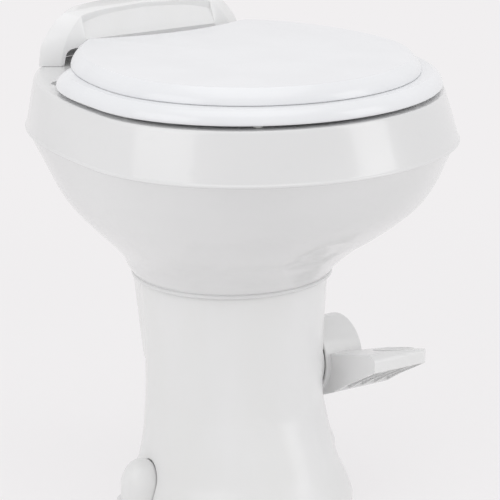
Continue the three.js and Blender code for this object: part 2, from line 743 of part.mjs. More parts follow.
// The outline of a bolt's cap and of the pocket that it stands in.
const capProfile = (radius, low, top, shares = COVER_DOME_SHARES) => [
  [0, low],
  [radius, low],
  ...shares.map(([out, up]) => [radius * out, top - COVER_DOME * (1 - up)]),
];

function makePedestal() {
  const outside = standOuter();
  let solid = standShell();
  for (const x of boltPlaces) {
    solid = solid.add(turned(rod(EAR_R, 0, SEATING_Z), x));
    const well = turned(capProfile(EAR_R, 0, POCKET_TOP_Z + PEDESTAL_WALL), x);
    solid = solid.add(well.intersect(outside));
  }
  solid = solid.add(turnedAlongX(rod(BOSS_R, BOSS_START_X, BOSS_END_X)));
  for (const x of boltPlaces) {
    solid = solid.subtract(turned(capProfile(POCKET_R, SEATING_Z, POCKET_TOP_Z), x));
    const hole = rod(BOLT_HOLE_R, -OVERRUN, SEATING_Z + OVERRUN);
    solid = solid.subtract(turned(hole, x, PIVOT_Y, SMALL_STEPS));
  }
  return solid.subtract(
    turnedAlongX(rod(CARTRIDGE_R + GAP, BOSS_START_X - OVERRUN, BOSS_END_X + OVERRUN)));
}

let pedestal = makePedestal();
for (const [x, z] of valveScrewPlaces) {
  pedestal = pedestal.subtract(
    turnedAlongY(rod(VALVE_SCREW_R + GAP, VALVE_SCREW_END_Y - OVERRUN, VALVE_BACK_Y), x, z));
}
add('pedestal', toGeometry(pedestal), whitePlastic());

// Skirt behind the stem.
function makeSkirt() {
  const top = { z: SKIRT_TOP_Z, plan: mixPlan(SKIRT_BASE, SKIRT_TOP, SKIRT_RISE_SHARE) };
  const rows = (by) => [
    { plan: grow(SKIRT_BASE, by - SKIRT_STEP), z: SKIRT_LOW_Z },
    { plan: grow(SKIRT_BASE, by), z: SKIRT_LOW_Z + SKIRT_STEP },
    { plan: grow(top.plan, by), z: top.z },
  ];
  const outside = body(rows(0), false);
  const inside = body([
    { plan: grow(SKIRT_BASE, -SKIRT_WALL - SKIRT_STEP), z: SKIRT_LOW_Z - OVERRUN },
    ...rows(-SKIRT_WALL),
    { plan: grow(top.plan, -SKIRT_WALL), z: top.z + OVERRUN },
  ], false);
  const bowlBlank = body([...outerRows(GAP)], false);
  const front = block(-FAR, FAR, -FAR, SKIRT_TOP.centre, 0, FAR);
  const shell = outside.subtract(inside).subtract(front);
  return largest(shell.subtract(standOuter(GAP)).subtract(bowlBlank));
}

function largest(solid) {
  const pieces = solid.decompose();
  return pieces.reduce((best, piece) => (piece.volume() > best.volume() ? piece : best));
}

add('rear_skirt', toGeometry(makeSkirt()), whitePlastic());

// Cover over the hinges.
function shroudSolid(inset, low, drop) {
  const half = SHROUD_HALF - inset;
  const tall = SHROUD_TOP_Z - inset - low;
  const front = SHROUD_FRONT_Y + inset;
  const side = SHROUD_SIDE_Y;
  const deep = SHROUD_BACK_Y - inset - side;
  const height = (up) => (up > 0 ? low + up * tall : low - drop);
  const points = [];
  for (const [wide, up, back] of [...COVER_CREASE_SHARES, ...COVER_LEDGE_SHARES, ...COVER_FOLD_SHARES]) {
    points.push([wide * half, front + back * SHROUD_LEAN, height(up)]);
  }
  for (const [wide, up] of COVER_SIDE_SHARES) {
    for (const [share, back] of COVER_BACK_SHARES) {
      points.push([wide * share * half, side + back * deep, height(up)]);
    }
  }
  const corners = points.flatMap(([x, y, z]) => [new THREE.Vector3(x, y, z), new THREE.Vector3(-x, y, z)]);
  return toSolid(new ConvexGeometry(corners));
}

// The flat pressed into the cover's front: it leans back, and ends in a ledge below the top.
function pressedFlat(inset) {
  const slope = Math.hypot(PANEL_RUN, PANEL_RISE);
  const back = PANEL_RUN / slope;
  const up = PANEL_RISE / slope;
  const onFlat = (along) => [
    SHROUD_FRONT_Y + inset * up + along * back,
    PANEL_Z - inset * back + along * up,
  ];
  const low = onFlat(-OVERRUN);
  const high = onFlat(PANEL_LENGTH);
  const wedge = prismAlongX([low, high, [high[0], FAR], [low[0], FAR]], -FAR, FAR);
  const ledge = COVER_LEDGE_SHARES.map(([wide, , lean]) => [
    wide > 0 ? wide * SHROUD_HALF + inset : 0,
    SHROUD_FRONT_Y + lean * SHROUD_LEAN + LEDGE_IN + inset,
  ]);
  const half = ledge[0][0];
  const mirrored = ledge.slice(0, -1).reverse().map(([x, y]) => [-x, y]);
  const plan = [[-half, 0], [half, 0], ...ledge, ...mirrored];
  return wedge.intersect(prismUp(plan, 0, FAR));
}

function makeShroud() {
  const low = RIM_Z + GAP;
  const outside = shroudSolid(0, low, 0).subtract(pressedFlat(0));
  const inside = shroudSolid(SHROUD_WALL, low, OVERRUN).subtract(pressedFlat(SHROUD_WALL));
  const mirrored = [...MOUTH_SLOPES].reverse().map(([x, z]) => [-x, z]);
  const mouth = prismAlongY([...MOUTH_SLOPES, ...mirrored], HINGE_Y, SHROUD_SIDE_Y);
  return outside.subtract(inside).subtract(mouth);
}

add('rear_shroud', toGeometry(makeShroud()), whitePlastic());

// Seat and lid.
const atHinge = (points) => turnedAlongX(points, HINGE_Y, HINGE_Z, SMALL_STEPS);
const pinBore = (start, end) => atHinge(rod(HINGE_PIN_R + GAP, start, end));
const postInner = POST_X - POST_HALF - GAP;
const postOuter = POST_X + POST_HALF + GAP;
const pinStart = postInner - KNUCKLE;
const pinEnd = postOuter + KNUCKLE;

function bothSides(solid, cut) {
  return solid.subtract(cut).subtract(cut.mirror([1, 0, 0]));
}

// The sections of a rolled edge on the seat, going inwards from its plan or outwards.
const seatRoll = (plan, shares, way) => shares.map(([inset, up]) => ({
  plan: grow(plan, way * inset * SEAT_ROLL),
  z: SEAT_Z + up * SEAT_THICK,
}));

function makeSeat() {
  const outer = seatRoll(SEAT_EDGE, SEAT_ROLL_SHARES, -1);
  const inner = seatRoll(SEAT_HOLE, SEAT_HOLE_SHARES, 1).reverse();
  const back = seatRoll(SEAT_BACK, SEAT_ROLL_SHARES, -1);
  const seat = body([...outer, ...inner], true).add(body(back, false));
  const notch = block(postInner, pinEnd + GAP, NOTCH_Y, FAR, SEAT_Z - OVERRUN, LID_Z + OVERRUN);
  return bothSides(bothSides(seat, notch), pinBore(pinStart - GAP, postInner + OVERRUN));
}

add('seat_ring', toGeometry(makeSeat()), seatPlastic());

const lidRoll = (planAt) => body(LID_ROLL_SHARES.map(([inset, up]) => ({
  plan: planAt(inset * LID_ROUND),
  z: LID_Z + up * LID_THICK,
})), false);
const hollowTop = LID_Z + LID_THICK * (1 - LID_THIN_SHARE) - LID_SKIN;
const lidHollow = (plan, low = LID_Z - OVERRUN, high = hollowTop) => column(plan, low, high);

function makeLid() {
  const round = lidRoll((inset) => grow(LID_EDGE, -inset));
  const outside = round.intersect(lidRoll((inset) => grow(LID_BACK, -inset)));
  const scoop = lidRoll((inset) => circle(scoopR + inset, scoopCentre));
  const rim = LID_RIM_WIDTH;
  const hollow = lidHollow(grow(LID_EDGE, -rim)).intersect(lidHollow(grow(LID_BACK, -rim)));
  const kept = lidHollow(circle(scoopR + rim, scoopCentre), LID_Z - FAR, LID_Z + FAR);
  let knuckle = atHinge(rod(KNUCKLE_R, postOuter, pinEnd));
  knuckle = knuckle.add(block(postOuter, pinEnd, HINGE_Y - KNUCKLE_R, HINGE_Y + KNUCKLE_BACK,
    HINGE_Z, LID_Z + KNUCKLE_RISE));
  const lid = outside.subtract(scoop).subtract(hollow.subtract(kept))
    .add(knuckle).add(knuckle.mirror([1, 0, 0]));
  return bothSides(lid, pinBore(postOuter - OVERRUN, pinEnd + OVERRUN));
}

// The lid's top falls a little from the hinges to the front.
function thinnedToFront(geometry) {
  const position = geometry.attributes.position;
  const length = LID_EDGE.front - LID_EDGE.centre + HINGE_Y;
  for (let i = 0; i < position.count; i += 1) {
    const up = position.getZ(i) - LID_Z;
    const forward = Math.max(0, HINGE_Y - position.getY(i)) / length;
    if (up > 0) position.setZ(i, LID_Z + up * (1 - LID_THIN_SHARE * forward));
  }
  geometry.computeVertexNormals();
  return geometry;
}

add('lid', thinnedToFront(toGeometry(makeLid())), seatPlastic());

for (const [place, [x, y]] of Object.entries(bumperPlaces)) {
  const bumper = turned(rod(BUMPER_R, RIM_Z + GAP, SEAT_Z - GAP), x, y, SMALL_STEPS);
  add(`seat_bumper_${place}`, toGeometry(bumper), paleRubber());
}

// Hinges.
function makePost() {
  const floor = RIM_Z + GAP;
  const foot = block(-POST_HALF, POST_HALF, HINGE_Y - POST_ROUND, HINGE_Y + POST_BACK, floor, HINGE_Z);
  let post = turnedAlongX(rod(POST_ROUND, -POST_HALF, POST_HALF), HINGE_Y, HINGE_Z).add(foot);
  post = post.subtract(pinBore(-POST_HALF - OVERRUN, POST_HALF + OVERRUN));
  const socket = rod(HINGE_BOLT_R + GAP, floor - OVERRUN, hingeBoltTop + GAP);
  return post.subtract(turned(socket, 0, postBoltY, SMALL_STEPS));
}

for (const [name, side] of [['left', -1], ['right', 1]]) {
  const x = side * POST_X;
  add(`hinge_post_${name}`, toGeometry(makePost()), whitePlastic(), [x, 0, 0]);
  const pin = atHinge(rod(HINGE_PIN_R, pinStart, pinEnd));
  add(`hinge_pin_${name}`, toGeometry(side > 0 ? pin : pin.mirror([1, 0, 0])), steel());
  const low = RIM_Z - HINGE_BOLT_DROP;
  const bolt = turned(rod(HINGE_BOLT_R, low, hingeBoltTop), x, postBoltY, SMALL_STEPS);
  add(`hinge_bolt_${name}`, toGeometry(bolt), whitePlastic());
  const nutTop = RIM_Z - DECK_THICK - GAP;
  const nut = ring(HINGE_BOLT_R + GAP, HINGE_NUT_R, nutTop - HINGE_NUT_THICK, nutTop);
  add(`hinge_nut_${name}`, toGeometry(turned(nut, x, postBoltY, SMALL_STEPS)), whitePlastic());
}

// Flush valve.
function makeChamber() {
  const wall = CHAMBER_R + CHAMBER_WALL;
  const drain = DRAIN_R + CHAMBER_WALL;
  const low = FLOOR_PLATE + GAP;
  let chamber = turned([
    [DRAIN_R, low], [FOOT_FLANGE_R, low], [FOOT_FLANGE_R, low + FOOT_FLANGE_THICK],
    [drain, low + FOOT_FLANGE_THICK], [drain, DRAIN_Z - CHAMBER_WALL], [wall, CHAMBER_SHOULDER_Z],
    [wall, chamberTop], [CHAMBER_LID_HOLE_R, chamberTop], [CHAMBER_LID_HOLE_R, CHAMBER_LID_Z],
    [CHAMBER_R, CHAMBER_LID_Z], [CHAMBER_R, CHAMBER_SHOULDER_Z], [DRAIN_R, DRAIN_Z], [DRAIN_R, low],
  ], 0, PIVOT_Y, TURN_STEPS);
  chamber = chamber.subtract(turnedAlongX(rod(BUSH_R + GAP, -BUSH_END_X, BUSH_END_X), PIVOT_Y, PIVOT_Z));
  for (const [x, y] of ringScrewPlaces) {
    const hole = rod(RING_SCREW_R + GAP, ringScrewLow - GAP, chamberTop + OVERRUN);
    chamber = chamber.subtract(turned(hole, x, y, SMALL_STEPS));
  }
  return chamber;
}

const ringScrewPlaces = [1, 3, 5, 7].map((eighth) => {
  const angle = (eighth * Math.PI) / 4;
  return [ringScrewReach * Math.cos(angle), PIVOT_Y + ringScrewReach * Math.sin(angle)];
});

add('flush_chamber', toGeometry(makeChamber()), greyPlastic());
const seal = turned([
  [CHAMBER_LID_HOLE_R - SEAL_STEP, sealLow], [SEAL_OUTER_R, sealLow], [SEAL_OUTER_R, sealTop],
  [OUTLET_R + SEAL_STEP, sealTop], [OUTLET_R + SEAL_LIP, sealTop - SEAL_LIP / 2],
  [OUTLET_R + SEAL_LIP, lipZ], [CHAMBER_LID_HOLE_R - SEAL_STEP, sealLow],
], 0, PIVOT_Y, TURN_STEPS);
add('bowl_seal', toGeometry(seal), rubber());

// The clamp ring comes in two halves, so that it can go round the bowl's outlet.
function makeRetainer(side) {
  const outer = CHAMBER_R + CHAMBER_WALL;
  const near = PIVOT_Y - side * GAP / 2;
  const far = near + side * FAR;
  let plate = turned(ring(OUTLET_R + OUTLET_WALL + GAP, outer, ringLow, ringTop));
  plate = plate.subtract(block(-FAR, FAR, Math.min(near, far), Math.max(near, far), 0, FAR));
  const hole = rod(RING_SCREW_R + GAP, ringLow - OVERRUN, ringTop + OVERRUN);
  for (const [x, y] of ringScrewPlaces) plate = plate.subtract(turned(hole, x, y, SMALL_STEPS));
  return plate;
}

add('bowl_retainer_front', toGeometry(makeRetainer(1)), steel());
add('bowl_retainer_rear', toGeometry(makeRetainer(-1)), steel());
ringScrewPlaces.forEach(([x, y], index) => {
  const head = ringTop + GAP;
  const screw = turned([
    [0, ringScrewLow], [RING_SCREW_R, ringScrewLow], [RING_SCREW_R, head],
    [RING_HEAD_R, head], [RING_HEAD_R, head + RING_HEAD_THICK], [0, head + RING_HEAD_THICK],
  ], x, y, SMALL_STEPS);
  add(`retainer_screw_${index + 1}`, toGeometry(screw), steel());
});

const atPivot = (points) => turnedAlongX(points, PIVOT_Y, PIVOT_Z, SMALL_STEPS);

function makeBall() {
  const inner = BALL_R - BALL_WALL;
  let ball = turned([
    ...arc(inner, 0, BALL_SPREAD, ARC_STEPS), ...arc(BALL_R, BALL_SPREAD, 0, ARC_STEPS),
  ], 0, PIVOT_Y, TURN_STEPS);
  const armTop = PIVOT_Z + Math.sqrt(inner ** 2 - (LUG_X + LUG_THICK) ** 2) - GAP;
  for (const side of [-1, 1]) {
    const near = Math.min(side * LUG_X, side * (LUG_X + LUG_THICK));
    const far = near + LUG_THICK;
    ball = ball.add(block(near, far, PIVOT_Y - LUG_ARM_HALF, PIVOT_Y + LUG_ARM_HALF, PIVOT_Z, armTop));
    ball = ball.add(atPivot(rod(LUG_R, near, far)));
  }
  const boreEnd = LUG_X + LUG_THICK + OVERRUN;
  return ball.subtract(atPivot(rod(SHAFT_R + GAP, -boreEnd, boreEnd)));
}
add('flush_ball', toGeometry(makeBall()), whitePlastic());

const webEnd = HUB_START_X + HUB_POCKET + HUB_WEB;
const shaftEnd = webEnd - GAP;
const screwBoreStart = shaftEnd - HUB_SCREW_LENGTH;
const screwBore = rod(HUB_SCREW_R + GAP, screwBoreStart - GAP, shaftEnd + OVERRUN);
const shaft = atPivot(rod(SHAFT_R, LUG_X, shaftEnd)).subtract(atPivot(screwBore));
add('drive_shaft', toGeometry(shaft), steel());
add('idler_pin', toGeometry(atPivot(rod(SHAFT_R, -IDLER_END_X, -LUG_X))), steel());
for (const [name, side] of [['left', -1], ['right', 1]]) {
  const start = Math.min(side * BUSH_END_X, side * (BUSH_END_X - BUSH_LENGTH));
  const bush = turnedAlongX(ring(SHAFT_R + GAP, BUSH_R, start, start + BUSH_LENGTH), PIVOT_Y, PIVOT_Z);
  add(`shaft_bush_${name}`, toGeometry(bush), blackPlastic());
}

// Pedal and its spring.
const cartridgeStart = BUSH_END_X + GAP;
const springStart = cartridgeStart + CARTRIDGE_FLOOR + GAP + SPRING_WIRE_R;
const springEnd = HUB_START_X + HUB_POCKET - GAP - SPRING_WIRE_R;
const cartridge = turnedAlongX([
  [SHAFT_R + GAP, cartridgeStart], [CARTRIDGE_R, cartridgeStart], [CARTRIDGE_R, CARTRIDGE_END_X],
  [CARTRIDGE_BORE_R, CARTRIDGE_END_X], [CARTRIDGE_BORE_R, cartridgeStart + CARTRIDGE_FLOOR],
  [SHAFT_R + GAP, cartridgeStart + CARTRIDGE_FLOOR], [SHAFT_R + GAP, cartridgeStart],
]);
add('spring_cartridge', toGeometry(cartridge), blackPlastic());

function makeSpring() {
  const curl = [];
  const steps = SPRING_TURNS * SPRING_CURL_STEPS;
  for (let i = 0; i <= steps; i += 1) {
    const angle = (i / SPRING_CURL_STEPS) * 2 * Math.PI;
    curl.push([
      mix(springStart, springEnd, i / steps),
      PIVOT_Y + SPRING_R * Math.cos(angle),
      PIVOT_Z + SPRING_R * Math.sin(angle),
    ]);
  }
  return hose(curl, SPRING_WIRE_R, steps, SPRING_SIDES);
}
add('return_spring', toGeometry(makeSpring()), steel());

// An upright block whose front corner on the +X side is round.
function roundedPlan(x0, x1, y0, y1, radius) {
  const shape = new THREE.Shape();
  shape.moveTo(x0, y1);
  shape.lineTo(x0, y0);
  shape.lineTo(x1 - radius, y0);
  shape.absarc(x1 - radius, y0 + radius, radius, -Math.PI / 2, 0, false);
  shape.lineTo(x1, y1);
  const options = { depth: FAR, bevelEnabled: false, curveSegments: TIP_STEPS };
  return toSolid(new THREE.ExtrudeGeometry(shape, options));
}

// Puts a shape drawn flat at the origin onto the lever's top, which leans two ways.
const ontoLever = (solid, x, y, z) =>
  solid.rotate([0, LEVER_TAPER, 0]).rotate([-leverTilt, 0, 0]).translate([x, y, z]);

// All that is above the lower, outer part of the lever's top, or as far below it as given.
const aboveTaper = (below) =>
  ontoLever(block(0, FAR, -FAR, FAR, 0, FAR), LEVER_TAPER_X, LEVER_TOP_Y, LEVER_TOP_Z - below);

function makeHub() {
  const bend = HUB_EDGE * BEND_SHARE;
  const pocketEnd = HUB_START_X + HUB_POCKET;
  const capSeat = HUB_END_X - CAP_THICK - GAP;
  const hub = turnedAlongX([
    [0, HUB_START_X], [HUB_R, HUB_START_X], [HUB_R, HUB_END_X - HUB_EDGE],
    [HUB_R - bend, HUB_END_X - bend], [HUB_R - HUB_EDGE, HUB_END_X], [0, HUB_END_X],
  ]);
  const hollows = [
    turnedAlongX(rod(HUB_R - HUB_WALL, HUB_START_X - OVERRUN, pocketEnd)),
    turnedAlongX(rod(HUB_R - HUB_WALL - CAP_LEDGE, webEnd, capSeat + OVERRUN)),
    turnedAlongX(rod(HUB_R - HUB_WALL, capSeat, HUB_END_X + OVERRUN)),
    atPivot(rod(SHAFT_R + GAP, HUB_START_X, webEnd + OVERRUN)),
  ];
  return { hub, hollows };
}

// The hollows under the lever, with thin ribs left between them.
function leverBays() {
  const bays = LEVER_RIBS + 1;
  const walls = LEVER_WALL + LEVER_WALL + LEVER_RIB * LEVER_RIBS;
  const span = (LEVER_END_X - LEVER_START_X - walls) / bays;
  const back = LEVER_BACK_Y - LEVER_WALL;
  const outline = [
    [back, leverTopAt(back) - LEVER_WALL],
    [LEVER_TOP_Y, LEVER_TOP_Z - BAY_TOP_WALL],
    [LEVER_TIP_Y + BAY_TIP_WALL, LEVER_TIP_HIGH_Z - LEVER_WALL],
    [LEVER_TIP_Y + BAY_TIP_WALL, 0],
    [back, 0],
  ];
  const within = roundedPlan(LEVER_START_X, LEVER_END_X - LEVER_WALL, LEVER_TIP_Y + LEVER_WALL,
    PIVOT_Y, LEVER_TIP_ROUND);
  return Array.from({ length: bays }, (_, bay) => {
    const start = LEVER_START_X + LEVER_WALL + bay * (span + LEVER_RIB);
    return prismAlongX(outline, start, start + span).intersect(within).subtract(aboveTaper(LEVER_WALL));
  });
}

function makePedal() {
  const { hub, hollows } = makeHub();
  const outline = [
    [LEVER_TOP_Y, LEVER_TOP_Z], [LEVER_NOSE_Y, LEVER_NOSE_Z], [LEVER_TIP_Y, LEVER_TIP_HIGH_Z],
    [LEVER_TIP_Y, LEVER_TIP_LOW_Z], [LEVER_MID_Y, LEVER_MID_Z], [LEVER_BACK_Y, LEVER_BACK_Z],
  ];
  const arm = [
    [LEVER_ROOT_Y, leverTopAt(LEVER_ROOT_Y)], ...outline,
    [LEVER_HEEL_Y, LEVER_HEEL_Z], [LEVER_HEEL_Y, leverTopAt(LEVER_HEEL_Y)],
  ];
  const paddle = [[LEVER_BACK_Y, leverTopAt(LEVER_BACK_Y)], ...outline];
  const tip = roundedPlan(LEVER_START_X, LEVER_END_X, LEVER_TIP_Y, PIVOT_Y, LEVER_TIP_ROUND);
  let pedal = hub.add(prismAlongX(arm, LEVER_START_X, HUB_END_X - HUB_EDGE));
  pedal = pedal.add(prismAlongX(paddle, HUB_END_X - HUB_EDGE - HUB_EDGE, LEVER_END_X).intersect(tip));
  const hubTop = block(0, FAR, LEVER_ROOT_Y, FAR, 0, FAR);
  for (const cut of [...hollows, ...leverBays(), aboveTaper(0).subtract(hubTop)]) pedal = pedal.subtract(cut);
  return pedal.add(makeGrip());
}

function makeGrip() {
  const oval = (grown) => {
    const shape = new THREE.Shape();
    shape.absellipse(0, 0, GRIP_HALF_X + grown, GRIP_HALF_Y + grown, 0, Math.PI * 2);
    const options = { depth: GRIP_RISE + GRIP_RISE, bevelEnabled: false, curveSegments: OVAL_STEPS };
    return toSolid(new THREE.ExtrudeGeometry(shape, options));
  };
  let grip = oval(0).subtract(oval(-GRIP_LINE).translate([0, 0, GRIP_RISE]));
  for (let i = 1; i <= GRIP_BARS; i += 1) {
    const y = mix(-GRIP_HALF_Y, GRIP_HALF_Y, i / (GRIP_BARS + 1));
    const half = GRIP_LINE / 2;
    const bar = block(-GRIP_HALF_X, GRIP_HALF_X, y - half, y + half, 0, GRIP_RISE + GRIP_RISE);
    grip = grip.add(bar.intersect(oval(0)));
  }
  const drop = Math.tan(THREE.MathUtils.degToRad(LEVER_TAPER)) * (GRIP_X - LEVER_TAPER_X);
  return ontoLever(grip.translate([0, 0, -GRIP_RISE]), GRIP_X, GRIP_Y, leverTopAt(GRIP_Y) - drop);
}

add('pedal', toGeometry(makePedal()), whitePlastic());
const capStart = HUB_END_X - CAP_THICK;
const capR = HUB_R - HUB_WALL - GAP;
add('pedal_cap', toGeometry(turnedAlongX([
  [0, capStart], [capR, capStart], [capR, HUB_END_X - CAP_EDGE],
  [capR - CAP_EDGE, HUB_END_X], [0, HUB_END_X],
])), whitePlastic());
add('pedal_screw', toGeometry(atPivot([
  [0, screwBoreStart], [HUB_SCREW_R, screwBoreStart], [HUB_SCREW_R, webEnd + GAP],
  [HUB_SCREW_HEAD_R, webEnd + GAP], [HUB_SCREW_HEAD_R, webEnd + GAP + HUB_SCREW_HEAD],
  [0, webEnd + GAP + HUB_SCREW_HEAD],
])), steel());

// Floor fixings.
add('floor_seal', toGeometry(turned(ring(DRAIN_R, FLOOR_HOLE_R - GAP, 0, FLOOR_PLATE))), rubber());
for (const [name, side] of [['left', -1], ['right', 1]]) {
  const x = side * BOLT_X;
  const washerLow = SEATING_Z + GAP;
  const nutLow = washerLow + WASHER_THICK + GAP;
  const washer = ring(BOLT_R + GAP, WASHER_R, washerLow, washerLow + WASHER_THICK);
  const nut = turned(rod(NUT_R, nutLow, nutLow + NUT_THICK), x, PIVOT_Y, NUT_SIDES);
  const nutBore = rod(BOLT_R + GAP, nutLow - OVERRUN, nutLow + NUT_THICK + OVERRUN);
  const put = (piece, solid, material) => add(`${piece}_${name}`, toGeometry(solid), material);
  put('floor_bolt', turned(rod(BOLT_R, 0, BOLT_TOP_Z), x, PIVOT_Y, SMALL_STEPS), steel());
  put('floor_washer', turned(washer, x, PIVOT_Y, SMALL_STEPS), steel());
  put('floor_nut', nut.subtract(turned(nutBore, x, PIVOT_Y, SMALL_STEPS)), steel());
  put('bolt_cover', makeCap(x), whitePlastic());
}

function makeCap(x) {
  const low = SEATING_Z + GAP;
  const outside = turned(capProfile(COVER_R, low, COVER_TOP_Z), x);
  const inner = capProfile(COVER_R - COVER_WALL, low - OVERRUN, COVER_TOP_Z - COVER_WALL, CAP_INNER_SHARES);
  return outside.subtract(turned(inner, x));
}

// Water parts.
function makeValve() {
  let valve = block(VALVE_X - VALVE_HALF, VALVE_X + VALVE_HALF, VALVE_FRONT_Y, VALVE_BACK_Y,
    VALVE_LOW_Z, VALVE_TOP_Z);
  valve = valve.subtract(turnedAlongX(
    rod(PLUNGER_R + GAP, VALVE_X - VALVE_HALF - OVERRUN, VALVE_X - VALVE_HALF + PLUNGER_BORE),
    VALVE_Y, PLUNGER_Z, SMALL_STEPS));
  const hole = rod(VALVE_SCREW_R + GAP, VALVE_FRONT_Y - OVERRUN, VALVE_BACK_Y + OVERRUN);
  for (const [x, z] of valveScrewPlaces) valve = valve.subtract(turnedAlongY(hole, x, z));
  return valve;
}
add('water_valve', toGeometry(makeValve()), blackPlastic());
const plungerTip = VALVE_X - VALVE_HALF + PLUNGER_BORE - PLUNGER_TRAVEL - GAP;
const plungerStart = plungerTip - PLUNGER_LENGTH;
const knobEnd = plungerStart + PLUNGER_KNOB;
add('valve_plunger', toGeometry(turnedAlongX([
  [0, plungerStart], [PLUNGER_KNOB_R, plungerStart], [PLUNGER_KNOB_R, knobEnd],
  [PLUNGER_R, knobEnd], [PLUNGER_R, plungerTip], [0, plungerTip],
], VALVE_Y, PLUNGER_Z, SMALL_STEPS)), whitePlastic());
valveScrewPlaces.forEach(([x, z], index) => {
  const head = VALVE_BACK_Y + GAP;
  add(`valve_screw_${index + 1}`, toGeometry(turnedAlongY([
    [0, VALVE_SCREW_END_Y], [VALVE_SCREW_R, VALVE_SCREW_END_Y], [VALVE_SCREW_R, head],
    [VALVE_HEAD_R, head], [VALVE_HEAD_R, head + VALVE_HEAD_THICK], [0, head + VALVE_HEAD_THICK],
  ], x, z)), steel());
});
const inletTop = VALVE_LOW_Z - GAP;
add('inlet_fitting', toGeometry(turned([
  [INLET_BORE_R, inletTop - INLET_LENGTH], [INLET_R, inletTop - INLET_LENGTH],
  [INLET_R, inletTop - INLET_NUT], [INLET_NUT_R, inletTop - INLET_NUT], [INLET_NUT_R, inletTop],
  [INLET_BORE_R, inletTop], [INLET_BORE_R, inletTop - INLET_LENGTH],
], VALVE_X, VALVE_Y, SMALL_STEPS)), brass());

add('supply_hose', toGeometry(hose(supplyRoute, HOSE_R, HOSE_STEPS)), blackPlastic());
add('rim_hose', toGeometry(hose(rimRoute, HOSE_R, HOSE_STEPS)), blackPlastic());
const nozzleFace = NOZZLE_START_Y - NOZZLE_FACE;
add('rim_nozzle', toGeometry(turnedAlongY([
  [0, nozzleFace], [NOZZLE_FACE_R, nozzleFace], [NOZZLE_FACE_R, NOZZLE_START_Y],
  [NOZZLE_R, NOZZLE_START_Y], [NOZZLE_R, NOZZLE_END_Y], [0, NOZZLE_END_Y],
], RIM_HOSE_X, NOZZLE_Z)), greyPlastic());
const clampRing = (low) => ring(HOSE_R + GAP, HOSE_R + CLAMP_THICK, low, low + CLAMP_WIDTH);
const valveClamp = turned(clampRing(VALVE_TOP_Z + CLAMP_CLEAR), HOSE_X, VALVE_Y, SMALL_STEPS);
add('hose_clamp_valve', toGeometry(valveClamp), steel());
const rimClamp = turnedAlongY(clampRing(NOZZLE_END_Y + CLAMP_CLEAR), RIM_HOSE_X, NOZZLE_Z);
add('hose_clamp_rim', toGeometry(rimClamp), steel());

const breakerX = (HOSE_X + RIM_HOSE_X) / 2;
function makeBreaker() {
  const low = RIM_Z + GAP;
  const half = (HOSE_X - RIM_HOSE_X) / 2 + HOSE_R + HOSE_R;
  const base = block(breakerX - half, breakerX + half, BREAKER_Y - BREAKER_HALF, BREAKER_Y + BREAKER_HALF,
    low, low + BREAKER_BASE);
  return base.add(turned(rod(BREAKER_R, low, BREAKER_TOP_Z), breakerX, BREAKER_Y));
}

add('vacuum_breaker', toGeometry(makeBreaker()), greyPlastic());
const breakerCapLow = BREAKER_TOP_Z + GAP;
const breakerCap = rod(BREAKER_CAP_R, breakerCapLow, breakerCapLow + BREAKER_CAP);
add('breaker_cap', toGeometry(turned(breakerCap, breakerX, BREAKER_Y)), blackPlastic());

export default group;
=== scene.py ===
# %% [markdown]
# # A pedal-flushed toilet for a motor home
#
# The real thing is a glazed bowl on a moulded plastic stand. The lid, the seat ring and the
# cover over the hinges are moulded too, and a foot pedal at the side works the flush valve.
#
# The CAD model is the frame: it says where each piece is. This lesson gives the pieces that
# are seen a smooth surface and a finish. All sizes are repeated from the CAD in millimetres
# and are turned into metres when a mesh is made.
#
# The frame is loaded first.

# %% Load the frame
import json
import math

import bmesh
import bpy
from mathutils import Matrix, Vector


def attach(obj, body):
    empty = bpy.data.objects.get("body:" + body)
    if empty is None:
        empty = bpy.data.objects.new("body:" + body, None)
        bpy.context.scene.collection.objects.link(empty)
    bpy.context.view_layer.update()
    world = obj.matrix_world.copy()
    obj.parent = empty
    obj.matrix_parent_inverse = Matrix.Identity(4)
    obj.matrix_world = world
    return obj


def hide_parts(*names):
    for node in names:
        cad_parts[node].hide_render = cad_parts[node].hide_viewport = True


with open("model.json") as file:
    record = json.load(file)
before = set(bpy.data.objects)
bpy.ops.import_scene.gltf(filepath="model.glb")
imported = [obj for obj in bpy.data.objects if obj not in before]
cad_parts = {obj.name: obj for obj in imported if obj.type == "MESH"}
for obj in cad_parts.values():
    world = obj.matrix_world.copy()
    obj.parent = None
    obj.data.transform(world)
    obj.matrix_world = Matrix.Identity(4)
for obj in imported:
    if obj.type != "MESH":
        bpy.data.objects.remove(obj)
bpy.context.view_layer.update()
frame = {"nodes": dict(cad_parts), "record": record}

# %% [markdown]
# ## Units and room between pieces
#
# A few lengths serve everywhere. Pieces that touch on the real object stand a small gap apart
# here, as in the CAD. A cutter goes well past what it cuts, so that no paper-thin wall is left.

# %% Units and clearances
MM = 0.001
GAP = 0.3
PAST = 6
FAR = 600
WELD = 2e-6
ELLIPSE = 2.0
FINE_ROUND, SMALL_ROUND, LIP_ROUND = 0.8, 1.0, 1.2
print("pieces that touch stand", GAP, "mm apart")

# %% [markdown]
# ## Plans of the bowl and the stand
#
# A plan is the outline of one level: half its width, how far it reaches to the front and to
# the rear of its centre, and how square its rear is. A bend of 2 is an ellipse.

# %% Sizes of the bowl and the stand
def plan(half, front, rear, centre, bend=ELLIPSE):
    return {"half": half, "front": front, "rear": rear, "centre": centre, "bend": bend}


